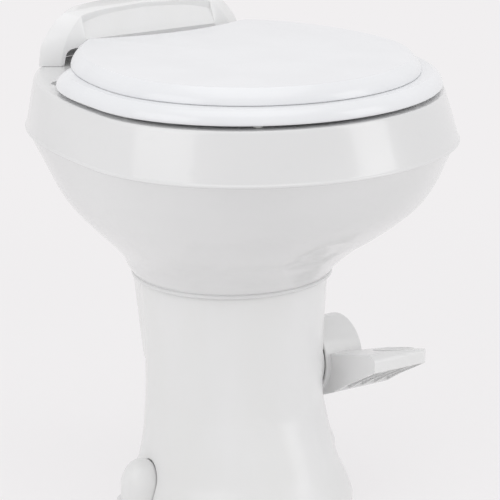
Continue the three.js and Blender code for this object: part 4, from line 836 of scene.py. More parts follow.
def make_stand():
    piece = stacked("stand", looped(stand_shell()), 200, WHITE_MOULDING)
    cutters = []
    for x in (-BOLT_X, BOLT_X):
        ear = turned_up("ear", [(EAR_R, 0, EAR_ROUND), (EAR_R, SEATING_Z, FINE_ROUND)], x)
        well = turned_up("well", [(EAR_R, WELL_LOW_Z, 0), *dome(EAR_R, POCKET_TOP_Z + STAND_WALL)], x)
        combine(well, [stacked("inside", filled(stand_outside(-STAND_WALL / 2)))], "INTERSECT")
        combine(piece, [well, ear], "UNION")
        pocket = [(POCKET_R, SEATING_Z + ABOVE_SEATING, 0), *dome(POCKET_R, POCKET_TOP_Z)]
        hole = [(BOLT_HOLE_R, -PAST, 0), (BOLT_HOLE_R, SEATING_Z + PAST, 0)]
        cutters += [turned_up("pocket", pocket, x), turned_up("bolt hole", hole, x, PIVOT_Y, 32)]
    boss = [(BOSS_R, BOSS_START_X, 0), (BOSS_R, BOSS_END_X, EAR_ROUND)]
    combine(piece, [turned_across("boss", boss)], "UNION")
    bore = [(BORE_R, BOSS_START_X - PAST, 0), (BORE_R, BOSS_END_X + PAST, 0)]
    cutters.append(turned_across("cartridge bore", bore))
    return smooth(combine(piece, cutters))


stand = make_stand()
print("stand:", len(stand.data.polygons), "faces")

# %% [markdown]
# ## The skirt behind the stand
#
# A thin skirt closes the back between the stand and the bowl, and hides the water valve. It
# follows both of its neighbours with an even gap. The easy way to make such a fit is to make
# the skirt too large and to cut it with grown copies of the stand and the bowl.

# %% Rows of the skirt
skirt_top = plan(82, 60, 108, 30)
skirt_base = plan(70, 60, 86, 30)
SKIRT_LOW_Z, SKIRT_TOP_Z, SKIRT_STEP, SKIRT_WALL, SKIRT_RISE = 129, 300, 4, 3, 1.25
FRONT_HALF = ((-180, -190, 0), (180, skirt_top["centre"], FAR))


def skirt_rows(by):
    base, top = grown(skirt_base, by), grown(between(skirt_base, skirt_top, SKIRT_RISE), by)
    step = row(base, SKIRT_LOW_Z + SKIRT_STEP, SKIRT_STEP)
    return [row(grown(base, -SKIRT_STEP), SKIRT_LOW_Z), step, row(top, SKIRT_TOP_Z)]


print("the skirt is", SKIRT_TOP_Z - SKIRT_LOW_Z, "mm tall before its top is cut")


# %% A block, and no crumbs
def block(name, low, high):
    """A box between two corners, in millimetres."""
    work = bmesh.new()
    bmesh.ops.create_cube(work, size=1)
    for vertex in work.verts:
        vertex.co = Vector([(a + b) / 2 + (b - a) * c for a, b, c in zip(low, high, vertex.co)]) * MM
    mesh = bpy.data.meshes.new(name)
    work.to_mesh(mesh)
    work.free()
    return put_in_scene(name, mesh)


def keep_largest(piece):
    """Drops the loose crumbs that a cut leaves behind."""
    work = bmesh.new()
    work.from_mesh(piece.data)
    left, islands = set(work.verts), []
    while left:
        island, edge = set(), [left.pop()]
        while edge:
            vertex = edge.pop()
            island.add(vertex)
            edge += [w for w in (e.other_vert(vertex) for e in vertex.link_edges) if w in left]
            left.difference_update(edge)
        islands.append(island)
    islands.sort(key=len)
    bmesh.ops.delete(work, geom=[v for island in islands[:-1] for v in island], context="VERTS")
    work.to_mesh(piece.data)
    work.free()
    return piece


print("blocks and crumbs are ready")


# %% Make the skirt
def make_skirt():
    piece = stacked("rear skirt shell", rounded(filled(skirt_rows(0))), 200, WHITE_MOULDING)
    inner = skirt_rows(-SKIRT_WALL)
    inner = [{**inner[0], "height": SKIRT_LOW_Z - PAST}, *inner, {**inner[-1], "height": SKIRT_TOP_Z + PAST}]
    cutters = [
        stacked("inside", filled(inner)),
        block("front half", *FRONT_HALF),
        stacked("room for the stand", filled(stand_outside(GAP))),
        stacked("room for the bowl", rounded(filled(band_rows(GAP)))),
    ]
    return smooth(keep_largest(combine(piece, cutters)))


skirt = make_skirt()
print("skirt:", len(skirt.data.polygons), "faces")

# %% [markdown]
# ## The cover over the hinges
#
# The cover behind the lid is a thin shell. Its back is round in two directions, and its face
# has a flat panel in the middle and a folded facet at each side. A hull round a cloud of
# points makes just such a skin: where the points lie on a curve it is round, and where there
# are few it is flat with a crisp fold. The folds are then bevelled, as a mould would leave
# them, and the inside and the mouth over the hinges are cut away.

# %% Shares of the hinge cover
COVER_HALF, COVER_FRONT_Y, COVER_LEAN, COVER_SIDE_Y, COVER_BACK_Y = 117, 151, 14, 170, 209
COVER_LOW_Z, COVER_TOP_Z, COVER_WALL, COVER_LIP_Z = 414.3, 465.95, 3, 431.5
CREASE_SHARES = ((0.85, 0, 0.5), (0.835, 0.265, 0.43), (0.79, 0.535, 0.39), (0.714, 0.76, 0.464),
                 (0.637, 0.8955, 0.607), (0.5, 0.946, 0.786), (0.34, 0.973, 0.907), (0, 1, 1))
FOLD_SHARES = ((0.635, 0.487, 0),)
SIDE_SHARES = ((1, 0), (0.985, 0.3), (0.955, 0.49), (0.915, 0.62), (0.86, 0.77), (0.81, 0.87), (0.75, 0.935),
               (0.68, 0.97), (0, 1))
BACK_SHARES = ((1, 0), (0.855, 0.38), (0.69, 0.68), (0.5, 0.86), (0.25, 0.96), (0, 1))
print("the cover is", COVER_HALF * 2, "mm wide")


# %% Push an outline into a solid
def extruded(name, outline, vector):
    """A solid from a flat outline of points, pushed along a vector, in millimetres."""
    work = bmesh.new()
    face = work.faces.new([work.verts.new(Vector(p) * MM) for p in outline])
    moved = bmesh.ops.extrude_face_region(work, geom=[face])
    verts = [v for v in moved["geom"] if isinstance(v, bmesh.types.BMVert)]
    bmesh.ops.translate(work, verts=verts, vec=Vector(vector) * MM)
    bmesh.ops.recalc_face_normals(work, faces=work.faces)
    mesh = bpy.data.meshes.new(name)
    work.to_mesh(mesh)
    work.free()
    return put_in_scene(name, mesh)


def across_prism(name, corners, start, end):
    return extruded(name, [(start, y, z) for y, z in corners], (end - start, 0, 0))


print("an outline can be pushed along a vector")


# %% The skin of the cover
NEARLY_FLAT = math.radians(0.6)


def cover_cloud(inset, drop):
    half, tall = COVER_HALF - inset, COVER_TOP_Z - inset - COVER_LOW_Z
    front, deep = COVER_FRONT_Y + inset, COVER_BACK_Y - inset - COVER_SIDE_Y
    height = lambda up: COVER_LOW_Z + up * tall if up > 0 else COVER_LOW_Z - drop
    cloud = [(wide * half, front + back * COVER_LEAN, height(up))
             for wide, up, back in (*finer(CREASE_SHARES), *FOLD_SHARES)]
    for wide, up in finer(SIDE_SHARES, 4):
        for share, back in finer(BACK_SHARES, 4):
            cloud.append((wide * share * half, COVER_SIDE_Y + back * deep, height(up)))
    return cloud


def cover_skin(name, inset, drop):
    work = bmesh.new()
    for x, y, z in cover_cloud(inset, drop):
        for side in ((1, -1) if x > WELD else (1,)):
            work.verts.new((side * x * MM, y * MM, z * MM))
    skin = bmesh.ops.convex_hull(work, input=work.verts)
    spare = [v for v in skin["geom_interior"] + skin["geom_unused"] if isinstance(v, bmesh.types.BMVert)]
    bmesh.ops.delete(work, geom=list(set(spare)), context="VERTS")
    bmesh.ops.dissolve_limit(work, angle_limit=NEARLY_FLAT, verts=work.verts, edges=work.edges)
    bmesh.ops.recalc_face_normals(work, faces=work.faces)
    mesh = bpy.data.meshes.new(name)
    work.to_mesh(mesh)
    work.free()
    return put_in_scene(name, mesh)


def eased_edges(piece, width, angle=28, segments=3):
    """Rounds the sharp edges, as a mould does."""
    bevel = piece.modifiers.new("eased edges", "BEVEL")
    bevel.limit_method = "ANGLE"
    bevel.angle_limit = math.radians(angle)
    bevel.width = width * MM
    bevel.segments = segments
    bevel.harden_normals = False
    return settled(piece)


print("the cloud of the cover has", len(cover_cloud(0, 0)), "points")

# %% [markdown]
# ### The pressed-in panel
#
# The middle of the cover's face is a flat that leans back, and above it stands a thin upright
# ledge. What is taken off is a wedge above the flat, kept only in front of the ledge's curve.
# The same cut, moved in by the wall, is taken off the inside, so that the wall stays even.

# %% Make the hinge cover
MOUTH_SLOPES = ((96.4, 408), (94.6, 424), (91, 429.5), (85, COVER_LIP_Z))
PANEL_Z, PANEL_RUN, PANEL_RISE, LEDGE_IN, LEDGE_ENDS, PANEL_HALF = 439.5, 13, 20, 0.5, 0.638, 300
PANEL_FROM, PANEL_TO = -6, 45
COVER_EASE, COVER_EASE_FROM = 0.9, 16


def pressed_flat(name, inset):
    """What is taken off the front: above a flat that leans back, up to a ledge along the crease."""
    slope = math.hypot(PANEL_RUN, PANEL_RISE)
    back, up = PANEL_RUN / slope, PANEL_RISE / slope
    low, high = ((COVER_FRONT_Y + inset * up + t * back, PANEL_Z - inset * back + t * up)
                 for t in (PANEL_FROM, PANEL_TO))
    wedge = across_prism(name, [low, high, (high[0], FAR), (low[0], FAR)], -PANEL_HALF, PANEL_HALF)
    front = COVER_FRONT_Y + LEDGE_IN + inset
    ledge = [(wide * COVER_HALF + (inset if wide > 0 else 0), front + lean * COVER_LEAN)
             for wide, _, lean in finer(CREASE_SHARES) if wide < LEDGE_ENDS]
    half = ledge[0][0]
    plan_view = [(-half, 0), (half, 0), *ledge, *((-x, y) for x, y in ledge[-2::-1])]
    return combine(wedge, [extruded("ledge", [(x, y, 0) for x, y in plan_view], (0, 0, FAR))], "INTERSECT")


def make_cover():
    piece = combine(cover_skin("hinge cover", 0, 0), [pressed_flat("flat", 0)])
    piece = eased_edges(piece, COVER_EASE, COVER_EASE_FROM, 3)
    piece.data.materials.append(WHITE_MOULDING)
    inside = combine(cover_skin("inside", COVER_WALL, PAST), [pressed_flat("flat", COVER_WALL)])
    slopes = finer(MOUTH_SLOPES, 4)
    outline = [(x, HINGE_Y, z) for x, z in slopes] + [(-x, HINGE_Y, z) for x, z in slopes[::-1]]
    mouth = extruded("mouth", outline, (0, COVER_SIDE_Y - HINGE_Y, 0))
    return smooth(combine(piece, [inside, mouth]), angle=24)


cover = make_cover()
print("hinge cover:", len(cover.data.polygons), "faces")

# %% [markdown]
# ## The seat ring
#
# The ring's edge is rolled, outside and inside, and a tongue at its back reaches the hinges.
# The ring is a closed stack of plans, the tongue is a second one, and a Boolean joins them
# and cuts the notches for the hinge posts.

# %% Rows of the seat ring
seat_edge = plan(176, 156, 155.5, -41, 3.2)
seat_hole = plan(108, 112, 98, -50, 2.2)
seat_back = plan(94, 40, 29.2, 100, 6)
SEAT_Z, SEAT_THICK, SEAT_ROLL = 418, 13.6, 9.5
SEAT_ROLL_SHARES = ((0.12, 0), (0, 0.1), (0.02, 0.25), (0.12, 0.45), (0.3, 0.65), (0.6, 0.84), (1, 1))
HOLE_ROLL_SHARES = ((0.15, 0), (0, 0.3), (0.3, 0.8), (1, 1))
POST_HALF, PIN_R, KNUCKLE, KNUCKLE_R, NOTCH_Y = 7, 3, 13, 6, 114
POST_INNER, POST_OUTER = POST_X - POST_HALF - GAP, POST_X + POST_HALF + GAP
PIN_START, PIN_END = POST_INNER - KNUCKLE, POST_OUTER + KNUCKLE


def rolled(shape, way=-1, shares=SEAT_ROLL_SHARES):
    rows = [row(grown(shape, way * inset * SEAT_ROLL), SEAT_Z + up * SEAT_THICK) for inset, up in shares]
    return flowing(rows, 4)


print("the roll of the seat's edge has", len(rolled(seat_edge)), "rows")


# %% Make the seat ring
def pin_bore(start, end):
    return turned_across("pin bore", [(PIN_R + GAP, start, 0), (PIN_R + GAP, end, 0)], HINGE_Y, HINGE_Z, 32)


def mirrored(low, high):
    return (-high[0], low[1], low[2]), (-low[0], high[1], high[2])


def make_seat():
    ring = looped([*rolled(seat_edge), *rolled(seat_hole, 1, HOLE_ROLL_SHARES)[::-1]])
    piece = stacked("seat", ring, 240, SEAT_GLOSS)
    combine(piece, [stacked("tongue", filled(rolled(seat_back)), 160, SEAT_GLOSS)], "UNION")
    low = (POST_INNER, NOTCH_Y, SEAT_Z - PAST)
    high = (PIN_END + GAP, seat_back["centre"] + seat_back["rear"] + PAST, SEAT_Z + SEAT_THICK + PAST)
    notches = [block("notch", low, high), block("notch", *mirrored(low, high))]
    bores = [pin_bore(PIN_START - GAP, POST_INNER + PAST), pin_bore(-POST_INNER - PAST, -PIN_START + GAP)]
    return smooth(combine(piece, [*notches, *bores]), angle=26)


seat = make_seat()
print("seat:", len(seat.data.polygons), "faces")

# %% [markdown]
# ## The lid
#
# The lid's outline is where two plans overlap: a long oval, and a broad shape that is nearly
# square at the back. A third curve scoops the back edge out between the hinges. A ring of
# points can be put on such an outline directly, with polar sizes: along each ray the nearest
# of the curves counts. So the lid is made ring by ring in bmesh, up its rolled edge and over
# the top, and its outline needs no cut. The top swells a little in the middle.

# %% Outline of the lid
lid_edge = plan(159, 148, 194, -31, 2.1)
lid_back = plan(175, 190, 162, -31, 12)
NO_LIMIT, BLEND_POWER = 1e4, 90
SCOOP_HALF, SCOOP_DEEP = 88, 19
SCOOP_R = (SCOOP_HALF ** 2 + SCOOP_DEEP ** 2) / (2 * SCOOP_DEEP)
SCOOP_Y = lid_back["centre"] + lid_back["rear"] - SCOOP_DEEP + SCOOP_R


def ray_length(shape, angle):
    """How far the plan reaches from its centre in one direction."""
    power = ELLIPSE if math.sin(angle) < 0 else shape["bend"]
    reach = shape["front"] if math.sin(angle) < 0 else shape["rear"]
    across, along = abs(math.cos(angle) / shape["half"]), abs(math.sin(angle) / reach)
    return (across ** power + along ** power) ** (-1 / power)


def scoop_length(inset, angle):
    """Where a ray meets the hollow curve of the back edge, or far away if it does not."""
    far, radius = SCOOP_Y - lid_edge["centre"], SCOOP_R + inset
    if math.sin(angle) <= 0 or far * abs(math.cos(angle)) >= radius:
        return NO_LIMIT
    return far * math.sin(angle) - math.sqrt(radius ** 2 - (far * math.cos(angle)) ** 2)


def lid_ring(inset, height, share=1.0, steps=360):
    """A ring of the lid: its outline taken in by inset, or shrunk towards its middle."""
    ring = []
    for i in range(steps):
        angle = 2 * math.pi * i / steps
        plans = (ray_length(grown(shape, -inset), angle) for shape in (lid_edge, lid_back))
        limits = (*plans, scoop_length(inset, angle))
        near = min(limits)
        reach = near * sum((near / limit) ** BLEND_POWER for limit in limits) ** (-1 / BLEND_POWER) * share
        ring.append((reach * math.cos(angle), lid_edge["centre"] + reach * math.sin(angle), height))
    return ring


print("the lid reaches", round(ray_length(lid_edge, -math.pi / 2)), "mm forward")

# %% Rings of the lid
LID_Z, LID_THICK, LID_ROUND, LID_THIN, LID_SKIN, LID_RIM = SEAT_Z + SEAT_THICK + GAP, 15, 10, 0.05, 5, 12
LID_CROWN, LID_EASE, LID_LIP = 1.2, 2, 1
LID_ROLL_SHARES = ((0.02, 0), (0, 0.05), (0.03, 0.14), (0.12, 0.31), (0.27, 0.49), (0.47, 0.67), (0.72, 0.84),
                   (1, 1))
CEILING_SHARES = (0.02, 0.4, 0.75, 0.97, 1.0)
CROWN_SHARES = (0.97, 0.92, 0.85, 0.76, 0.66, 0.55, 0.43, 0.3, 0.16, 0.02)


def lid_rings():
    """From the middle of the underside, over the rim, up the roll and to the middle of the top."""
    ceiling = LID_Z + LID_THICK * (1 - LID_THIN) - LID_SKIN
    top = LID_Z + LID_THICK
    rings = [lid_ring(LID_RIM + LID_EASE, ceiling, share) for share in CEILING_SHARES]
    rings += [lid_ring(LID_RIM, ceiling - LID_EASE), lid_ring(LID_RIM, LID_Z + LID_LIP)]
    rings.append(lid_ring(LID_RIM - LID_LIP, LID_Z))
    rings += [lid_ring(inset * LID_ROUND, LID_Z + up * LID_THICK) for inset, up in finer(LID_ROLL_SHARES, 4)]
    rings.append(lid_ring(LID_ROUND + LID_EASE, top))
    for share in CROWN_SHARES:
        rings.append(lid_ring(LID_ROUND + LID_EASE, top + LID_CROWN * (1 - share ** 2), share))
    return rings


def ring_mesh(name, rings):
    """Joins rings of equal length, and closes the first and the last."""
    steps = len(rings[0])
    points = [tuple(c * MM for c in p) for ring in rings for p in ring]
    faces = []
    for start in range(0, (len(rings) - 1) * steps, steps):
        for i in range(steps):
            after = (i + 1) % steps
            faces.append((start + i, start + after, start + steps + after, start + steps + i))
    faces += [tuple(range(steps))[::-1], tuple((len(rings) - 1) * steps + i for i in range(steps))]
    mesh = bpy.data.meshes.new(name)
    mesh.from_pydata(points, [], faces)
    return outward(put_in_scene(name, mesh))


print("the lid has", len(lid_rings()), "rings")

# %% [markdown]
# ### The lid's knuckles
#
# The lid gets thinner to the front. At each hinge it has a knuckle, a short turned barrel on
# the pin with a web up into the lid. They are joined on, and the pin's bore is cut last.

# %% Make the lid
WEB_BACK, WEB_RISE, WEB_SIDE = 3, 5, 0.01


def thin_to_front(piece):
    length = lid_edge["front"] - lid_edge["centre"] + HINGE_Y
    for vertex in piece.data.vertices:
        up = vertex.co.z / MM - LID_Z
        forward = max(0.0, HINGE_Y - vertex.co.y / MM) / length
        if up > 0:
            vertex.co.z = (LID_Z + up * (1 - LID_THIN * forward)) * MM


def make_lid():
    piece = ring_mesh("lid shell", lid_rings())
    piece.data.materials.append(SEAT_GLOSS)
    thin_to_front(piece)
    knuckles, bores = [], []
    for side in (-1, 1):
        start, end = sorted((side * POST_OUTER, side * PIN_END))
        barrel = [(KNUCKLE_R, start, FINE_ROUND), (KNUCKLE_R, end, FINE_ROUND)]
        low = (start + WEB_SIDE, HINGE_Y - KNUCKLE_R, HINGE_Z)
        high = (end - WEB_SIDE, HINGE_Y + WEB_BACK, LID_Z + WEB_RISE)
        knuckles += [turned_across("knuckle", barrel, HINGE_Y, HINGE_Z, 48), block("web", low, high)]
        bores.append(pin_bore(start - PAST, end + PAST))
    combine(piece, knuckles, "UNION")
    return smooth(combine(piece, bores), angle=30)


lid = make_lid()
print("lid:", len(lid.data.polygons), "faces")

# %% [markdown]
# ## The foot pedal
#
# The pedal is one moulding: a round hub on the shaft, and a lever that widens to a paddle
# with an oval grip on top. To save plastic it is hollow from below, with ribs along it.
# The outside is joined from turned and extruded solids and its edges are eased. Then the
# hollows are cut. The bays between the ribs are equal, so one bay is copied along a line by
# a Geometry Nodes tree, and so are the bars of the grip.

# %% Tree: a row of copies
def row_tree():
    tree = bpy.data.node_groups.new("row of copies", "GeometryNodeTree")
    tree.interface.new_socket("Row", in_out="OUTPUT", socket_type="NodeSocketGeometry")
    for name, kind in (("Piece", "Geometry"), ("Count", "Int"), ("Step", "Vector"), ("Finish", "Material")):
        tree.interface.new_socket(name, in_out="INPUT", socket_type="NodeSocket" + kind)
    bench = Bench(tree)
    given = {name: bench.node("NodeGroupInput", output=name) for name in ("Piece", "Count", "Step", "Finish")}
    sizes = {"Count": given["Count"], "Offset": given["Step"]}
    line = bench.node("GeometryNodeMeshLine", {"mode": "OFFSET"}, sizes)
    copied = bench.node("GeometryNodeInstanceOnPoints", None, {"Points": line, "Instance": given["Piece"]})
    real = bench.node("GeometryNodeRealizeInstances", None, {"Geometry": copied})
    painted = bench.node("GeometryNodeSetMaterial", None, {"Geometry": real, "Material": given["Finish"]})
    bench.node("NodeGroupOutput", None, {"Row": painted})
    return tree


ROW = row_tree()
print("tree", ROW.name, "has", len(ROW.nodes), "nodes")

# %% [markdown]
# ### The lever
#
# Seen from the side the lever is one outline: a flat top that leans back to the hub, a rounded
# nose, and a lower edge that runs down to the heel. The arm beside the hub and the paddle
# beyond it are this outline pushed sideways, and the paddle's outer corner is rounded by
# keeping only what it shares with a rounded plan.

# %% Shape of the pedal's lever
HUB_R, HUB_WALL, HUB_START_X, HUB_END_X, HUB_POCKET, HUB_WEB, HUB_EDGE = 37.5, 3, 90, 134, 12, 5, 2.5
LEVER_START_X, LEVER_END_X, LEVER_WALL, LEVER_RIB, LEVER_RIBS = 95, 162, 3, 2.2, 3
LEVER_TIP_Y, LEVER_TOP_Y, LEVER_TOP_Z, LEVER_ROOT_Y, LEVER_ROOT_Z = -97, -88, 150.3, -20, 133.5
LEVER_TIP_LOW_Z, LEVER_TIP_HIGH_Z, LEVER_NOSE = 135, 145, (-95, 147.6)
LEVER_MID, LEVER_BACK, LEVER_HEEL = (-50, 109), (-30, 96), (-11, 88)
LEVER_TIP_ROUND, LEVER_TIP_BITES, LEVER_TAPER, LEVER_TAPER_X, TIP_TALL = 11, 10, 6, 116, 300
LEVER_SLOPE = (LEVER_TOP_Z - LEVER_ROOT_Z) / (LEVER_ROOT_Y - LEVER_TOP_Y)
LEVER_TILT = math.atan(LEVER_SLOPE)


def lever_top(y):
    return LEVER_ROOT_Z + LEVER_SLOPE * (LEVER_ROOT_Y - y)


def tip_outline(x1, y0, radius=LEVER_TIP_ROUND, low=0.0):
    """The paddle seen from above, with its outer front corner rounded."""
    turn = [(x1 - radius + radius * math.sin(a), y0 + radius - radius * math.cos(a), low)
            for a in (math.pi / 2 * i / LEVER_TIP_BITES for i in range(LEVER_TIP_BITES + 1))]
    return [(LEVER_START_X, PIVOT_Y, low), (LEVER_START_X, y0, low), *turn, (x1, PIVOT_Y, low)]


def lever_outside():
    outer = [(LEVER_ROOT_Y, LEVER_ROOT_Z), (LEVER_TOP_Y, LEVER_TOP_Z), LEVER_NOSE,
             (LEVER_TIP_Y, LEVER_TIP_HIGH_Z), (LEVER_TIP_Y, LEVER_TIP_LOW_Z), LEVER_MID, LEVER_BACK]
    heel = [LEVER_HEEL, (LEVER_HEEL[0], lever_top(LEVER_HEEL[0]))]
    arm = across_prism("arm", [*outer, *heel], LEVER_START_X, HUB_END_X - HUB_EDGE)
    side = [(LEVER_BACK[0], lever_top(LEVER_BACK[0])), *outer[1:]]
    paddle = across_prism("paddle", side, HUB_END_X - HUB_EDGE * 2, LEVER_END_X)
    combine(paddle, [extruded("tip", tip_outline(LEVER_END_X, LEVER_TIP_Y), (0, 0, TIP_TALL))], "INTERSECT")
    return combine(arm, [paddle], "UNION")


print("the lever leans", round(math.degrees(LEVER_TILT), 1), "degrees")

# %% [markdown]
# ### The grip
#
# A low oval ring with three bars stands on the paddle, to keep a shoe from sliding. It is made
# flat at the origin, where its sizes are easy to read, and then turned onto the paddle's slope.
# The outer part of the paddle's top slopes down sideways as well, and one cutter makes that
# slope for the outside and, lower by the wall, for the hollows.

# %% Grip on the slope
GRIP_X, GRIP_Y, GRIP_HALF_X, GRIP_HALF_Y, GRIP_LINE, GRIP_RISE, GRIP_BARS = 141, -66, 19, 22, 2.6, 0.9, 3
JUST_INSIDE, JUST_BELOW = 0.01, -1


def on_paddle(piece, x, y, z):
    """Lays a flat piece on the slope of the paddle."""
    turn = Matrix.Rotation(-LEVER_TILT, 4, "X") @ Matrix.Rotation(math.radians(LEVER_TAPER), 4, "Y")
    piece.data.transform(Matrix.Translation(Vector((x, y, z)) * MM) @ turn)
    return piece


def oval(name, by, low, high, steps=64):
    points = [((GRIP_HALF_X + by) * math.cos(a), (GRIP_HALF_Y + by) * math.sin(a), low)
              for a in (2 * math.pi * i / steps for i in range(steps))]
    return extruded(name, points, (0, 0, high - low))


def make_grip():
    grip = combine(oval("grip", 0, 0, GRIP_RISE * 2), [oval("well", -GRIP_LINE, GRIP_RISE, GRIP_RISE * 3)])
    step, half = GRIP_HALF_Y / 2, GRIP_LINE / 2
    bar = block("bar", (-GRIP_HALF_X, -step - half, 0), (GRIP_HALF_X, -step + half, GRIP_RISE * 2))
    bars = run_tree(bar, ROW, Count=GRIP_BARS, Step=(0, step * MM, 0), Finish=WHITE_MOULDING)
    combine(bars, [oval("rim", -JUST_INSIDE, JUST_BELOW, GRIP_RISE * 3)], "INTERSECT")
    combine(grip, [bars], "UNION")
    drop = math.tan(math.radians(LEVER_TAPER)) * (GRIP_X - LEVER_TAPER_X)
    grip.data.transform(Matrix.Translation((0, 0, -GRIP_RISE * MM)))
    return on_paddle(grip, GRIP_X, GRIP_Y, lever_top(GRIP_Y) - drop)


def taper_cutter(below):
    """All that is above the outer part of the lever's top, or as far below it as given."""
    size = (HUB_R * 2, LEVER_ROOT_Y - LEVER_TOP_Y, HUB_R)
    return on_paddle(block("slant", (0, -HUB_R, 0), size), LEVER_TAPER_X, LEVER_TOP_Y, LEVER_TOP_Z - below)


print("the grip has", GRIP_BARS, "bars")

# %% [markdown]
# ### The hollows
#
# The bays between the ribs are equal, so one bay is copied along a line by the tree above, and
# the row is trimmed to stay a wall inside the paddle's outline and under its slope.

# %% Bays of the lever
BAY_TOP_WALL, BAY_TIP_WALL, BAY_LOW_Z, BAY_PLAN_Z, BAY_PLAN_TALL = 4, 5, 20, -200, 500


def lever_bays():
    bays = LEVER_RIBS + 1
    span = (LEVER_END_X - LEVER_START_X - LEVER_WALL * 2 - LEVER_RIB * LEVER_RIBS) / bays
    back, tip = LEVER_BACK[0] - LEVER_WALL, LEVER_TIP_Y + BAY_TIP_WALL
    outline = [(back, lever_top(back) - LEVER_WALL), (LEVER_TOP_Y, LEVER_TOP_Z - BAY_TOP_WALL),
               (tip, LEVER_TIP_HIGH_Z - LEVER_WALL), (tip, BAY_LOW_Z), (back, BAY_LOW_Z)]
    start = LEVER_START_X + LEVER_WALL
    bay = across_prism("bay", outline, start, start + span)
    row_of_bays = run_tree(bay, ROW, Count=bays, Step=((span + LEVER_RIB) * MM, 0, 0), Finish=WHITE_MOULDING)
    inner = tip_outline(LEVER_END_X - LEVER_WALL, LEVER_TIP_Y + LEVER_WALL, LEVER_TIP_ROUND, BAY_PLAN_Z)
    combine(row_of_bays, [extruded("tip", inner, (0, 0, BAY_PLAN_TALL))], "INTERSECT")
    return combine(row_of_bays, [taper_cutter(LEVER_WALL)])


print("each bay of the lever is cut to a wall of", LEVER_WALL, "mm")

# %% [markdown]
# ### The whole pedal
#
# The lever's edges are eased twice, a wide flat first and then the corners that it leaves. The
# hub is turned, the lever is joined on, and the pockets, the bore and the bays are cut before
# the grip is added.

# %% Make the pedal
CAP_THICK, CAP_LEDGE, SHAFT_R, POCKET_ROUND = 2.6, 2.5, 5, 1.5
LEVER_EASES = ((2.2, 20), (0.8, 14))


def barrel_cut(name, radius, start, end, rounding=(0, 0), steps=96):
    return turned_across(name, [(radius, start, rounding[0]), (radius, end, rounding[1])], steps=steps)


def hub_cutters():
    pocket, ledge = HUB_START_X + HUB_POCKET, HUB_R - HUB_WALL
    web, cap_seat = pocket + HUB_WEB, HUB_END_X - CAP_THICK - GAP
    return [
        barrel_cut("back pocket", ledge, HUB_START_X - PAST, pocket, (0, POCKET_ROUND)),
        barrel_cut("cap pocket", ledge - CAP_LEDGE, web, cap_seat + PAST, (POCKET_ROUND, 0)),
        barrel_cut("cap seat", ledge, cap_seat, HUB_END_X + PAST),
        barrel_cut("shaft bore", SHAFT_R + GAP, HUB_START_X, web + PAST, steps=32),
    ]


def make_pedal():
    hub = [(HUB_R, HUB_START_X, LIP_ROUND), (HUB_R, HUB_END_X, HUB_EDGE)]
    piece = turned_across("pedal body", hub, steps=96, finish=WHITE_MOULDING)
    lever = combine(lever_outside(), [taper_cutter(0)])
    for width, angle in LEVER_EASES:
        lever = eased_edges(lever, width, angle, 1)
    combine(piece, [lever], "UNION")
    combine(piece, [*hub_cutters(), lever_bays()])
    return smooth(combine(piece, [make_grip()], "UNION"), angle=30)


pedal = make_pedal()
pedal_reach = max(v.co.x for v in pedal.data.vertices) / MM
print("pedal:", len(pedal.data.polygons), "faces, out to x", round(pedal_reach), "mm")

# %% [markdown]
# ## Caps, the flush ball and its seal
#
# These are all turned shapes, so each is a stack of discs, or one laid on its side. The
# bolt caps are thin domes. The flush ball is a slice of a thin ball that closes the bowl's
# outlet from below, and the seal's lip rests on it. A plain disc closes the pedal's hub.

# %% Make the bolt caps
COVER_R, CAP_WALL, CAP_TOP_Z, CAP_IN_ROUND, CAP_OUT_ROUND = 20, 2.2, 55, 0.4, 0.6


def make_bolt_cap(name, x):
    low, inner = SEATING_Z + GAP, COVER_R - CAP_WALL
    profile = [*dome(inner, CAP_TOP_Z - CAP_WALL)[::-1], (inner, low, CAP_IN_ROUND),
               (COVER_R, low, CAP_OUT_ROUND), *dome(COVER_R, CAP_TOP_Z)]
    rows = rounded([row(disc(max(r, 0)), z, soft) for r, z, soft in profile])
    piece = stacked(name, rows, 72, WHITE_MOULDING)
    piece.data.transform(Matrix.Translation((x * MM, 0, 0)))
    return smooth(piece)


caps = {side: make_bolt_cap(f"bolt cap {side}", x) for side, x in (("left", -BOLT_X), ("right", BOLT_X))}
print("bolt caps:", len(caps["left"].data.polygons), "faces each")


# %% Make the flush ball
BALL_R, BALL_WALL, BALL_SPREAD, LUG_X, LUG_THICK, LUG_R, LUG_HALF = 62, 3.5, 34, 25, 6, 10, 8


def arc(radius, first, last, steps=16):
    angles = [math.radians(first + (last - first) * i / steps) for i in range(steps + 1)]
    return [(radius * math.sin(a), PIVOT_Z + radius * math.cos(a), 0) for a in angles]


def make_ball():
    inner = BALL_R - BALL_WALL
    profile = [*arc(inner, 0, BALL_SPREAD), *arc(BALL_R, BALL_SPREAD, 0)]
    piece = stacked("flush ball shell", [row(disc(r), z, s) for r, z, s in profile], 96, WHITE_MOULDING)
    top = PIVOT_Z + math.sqrt(inner ** 2 - (LUG_X + LUG_THICK) ** 2) + BALL_WALL / 2
    for side in (-1, 1):
        near, far = sorted((side * LUG_X, side * (LUG_X + LUG_THICK)))
        arm = block("arm", (near, PIVOT_Y - LUG_HALF, PIVOT_Z), (far, PIVOT_Y + LUG_HALF, top))
        eye = turned_across("eye", [(LUG_R, near, 0), (LUG_R, far, 0)], steps=48)
        combine(piece, [arm, eye], "UNION")
    ends = LUG_X + LUG_THICK + PAST
    return smooth(combine(piece, [barrel_cut("bore", SHAFT_R + GAP, -ends, ends, steps=32)]))


ball = make_ball()
print("ball:", len(ball.data.polygons), "faces")


# %% Make the seal
SEAL_LOW_Z, SEAL_HIGH_Z, SEAL_IN_R, SEAL_OUT_R, SEAL_TOP_R = 175.3, 180.7, 38, 54, 37
LIP_OUT, LIP_DROP, LIP_TIP_ROUND = 3, 1.5, 0.6


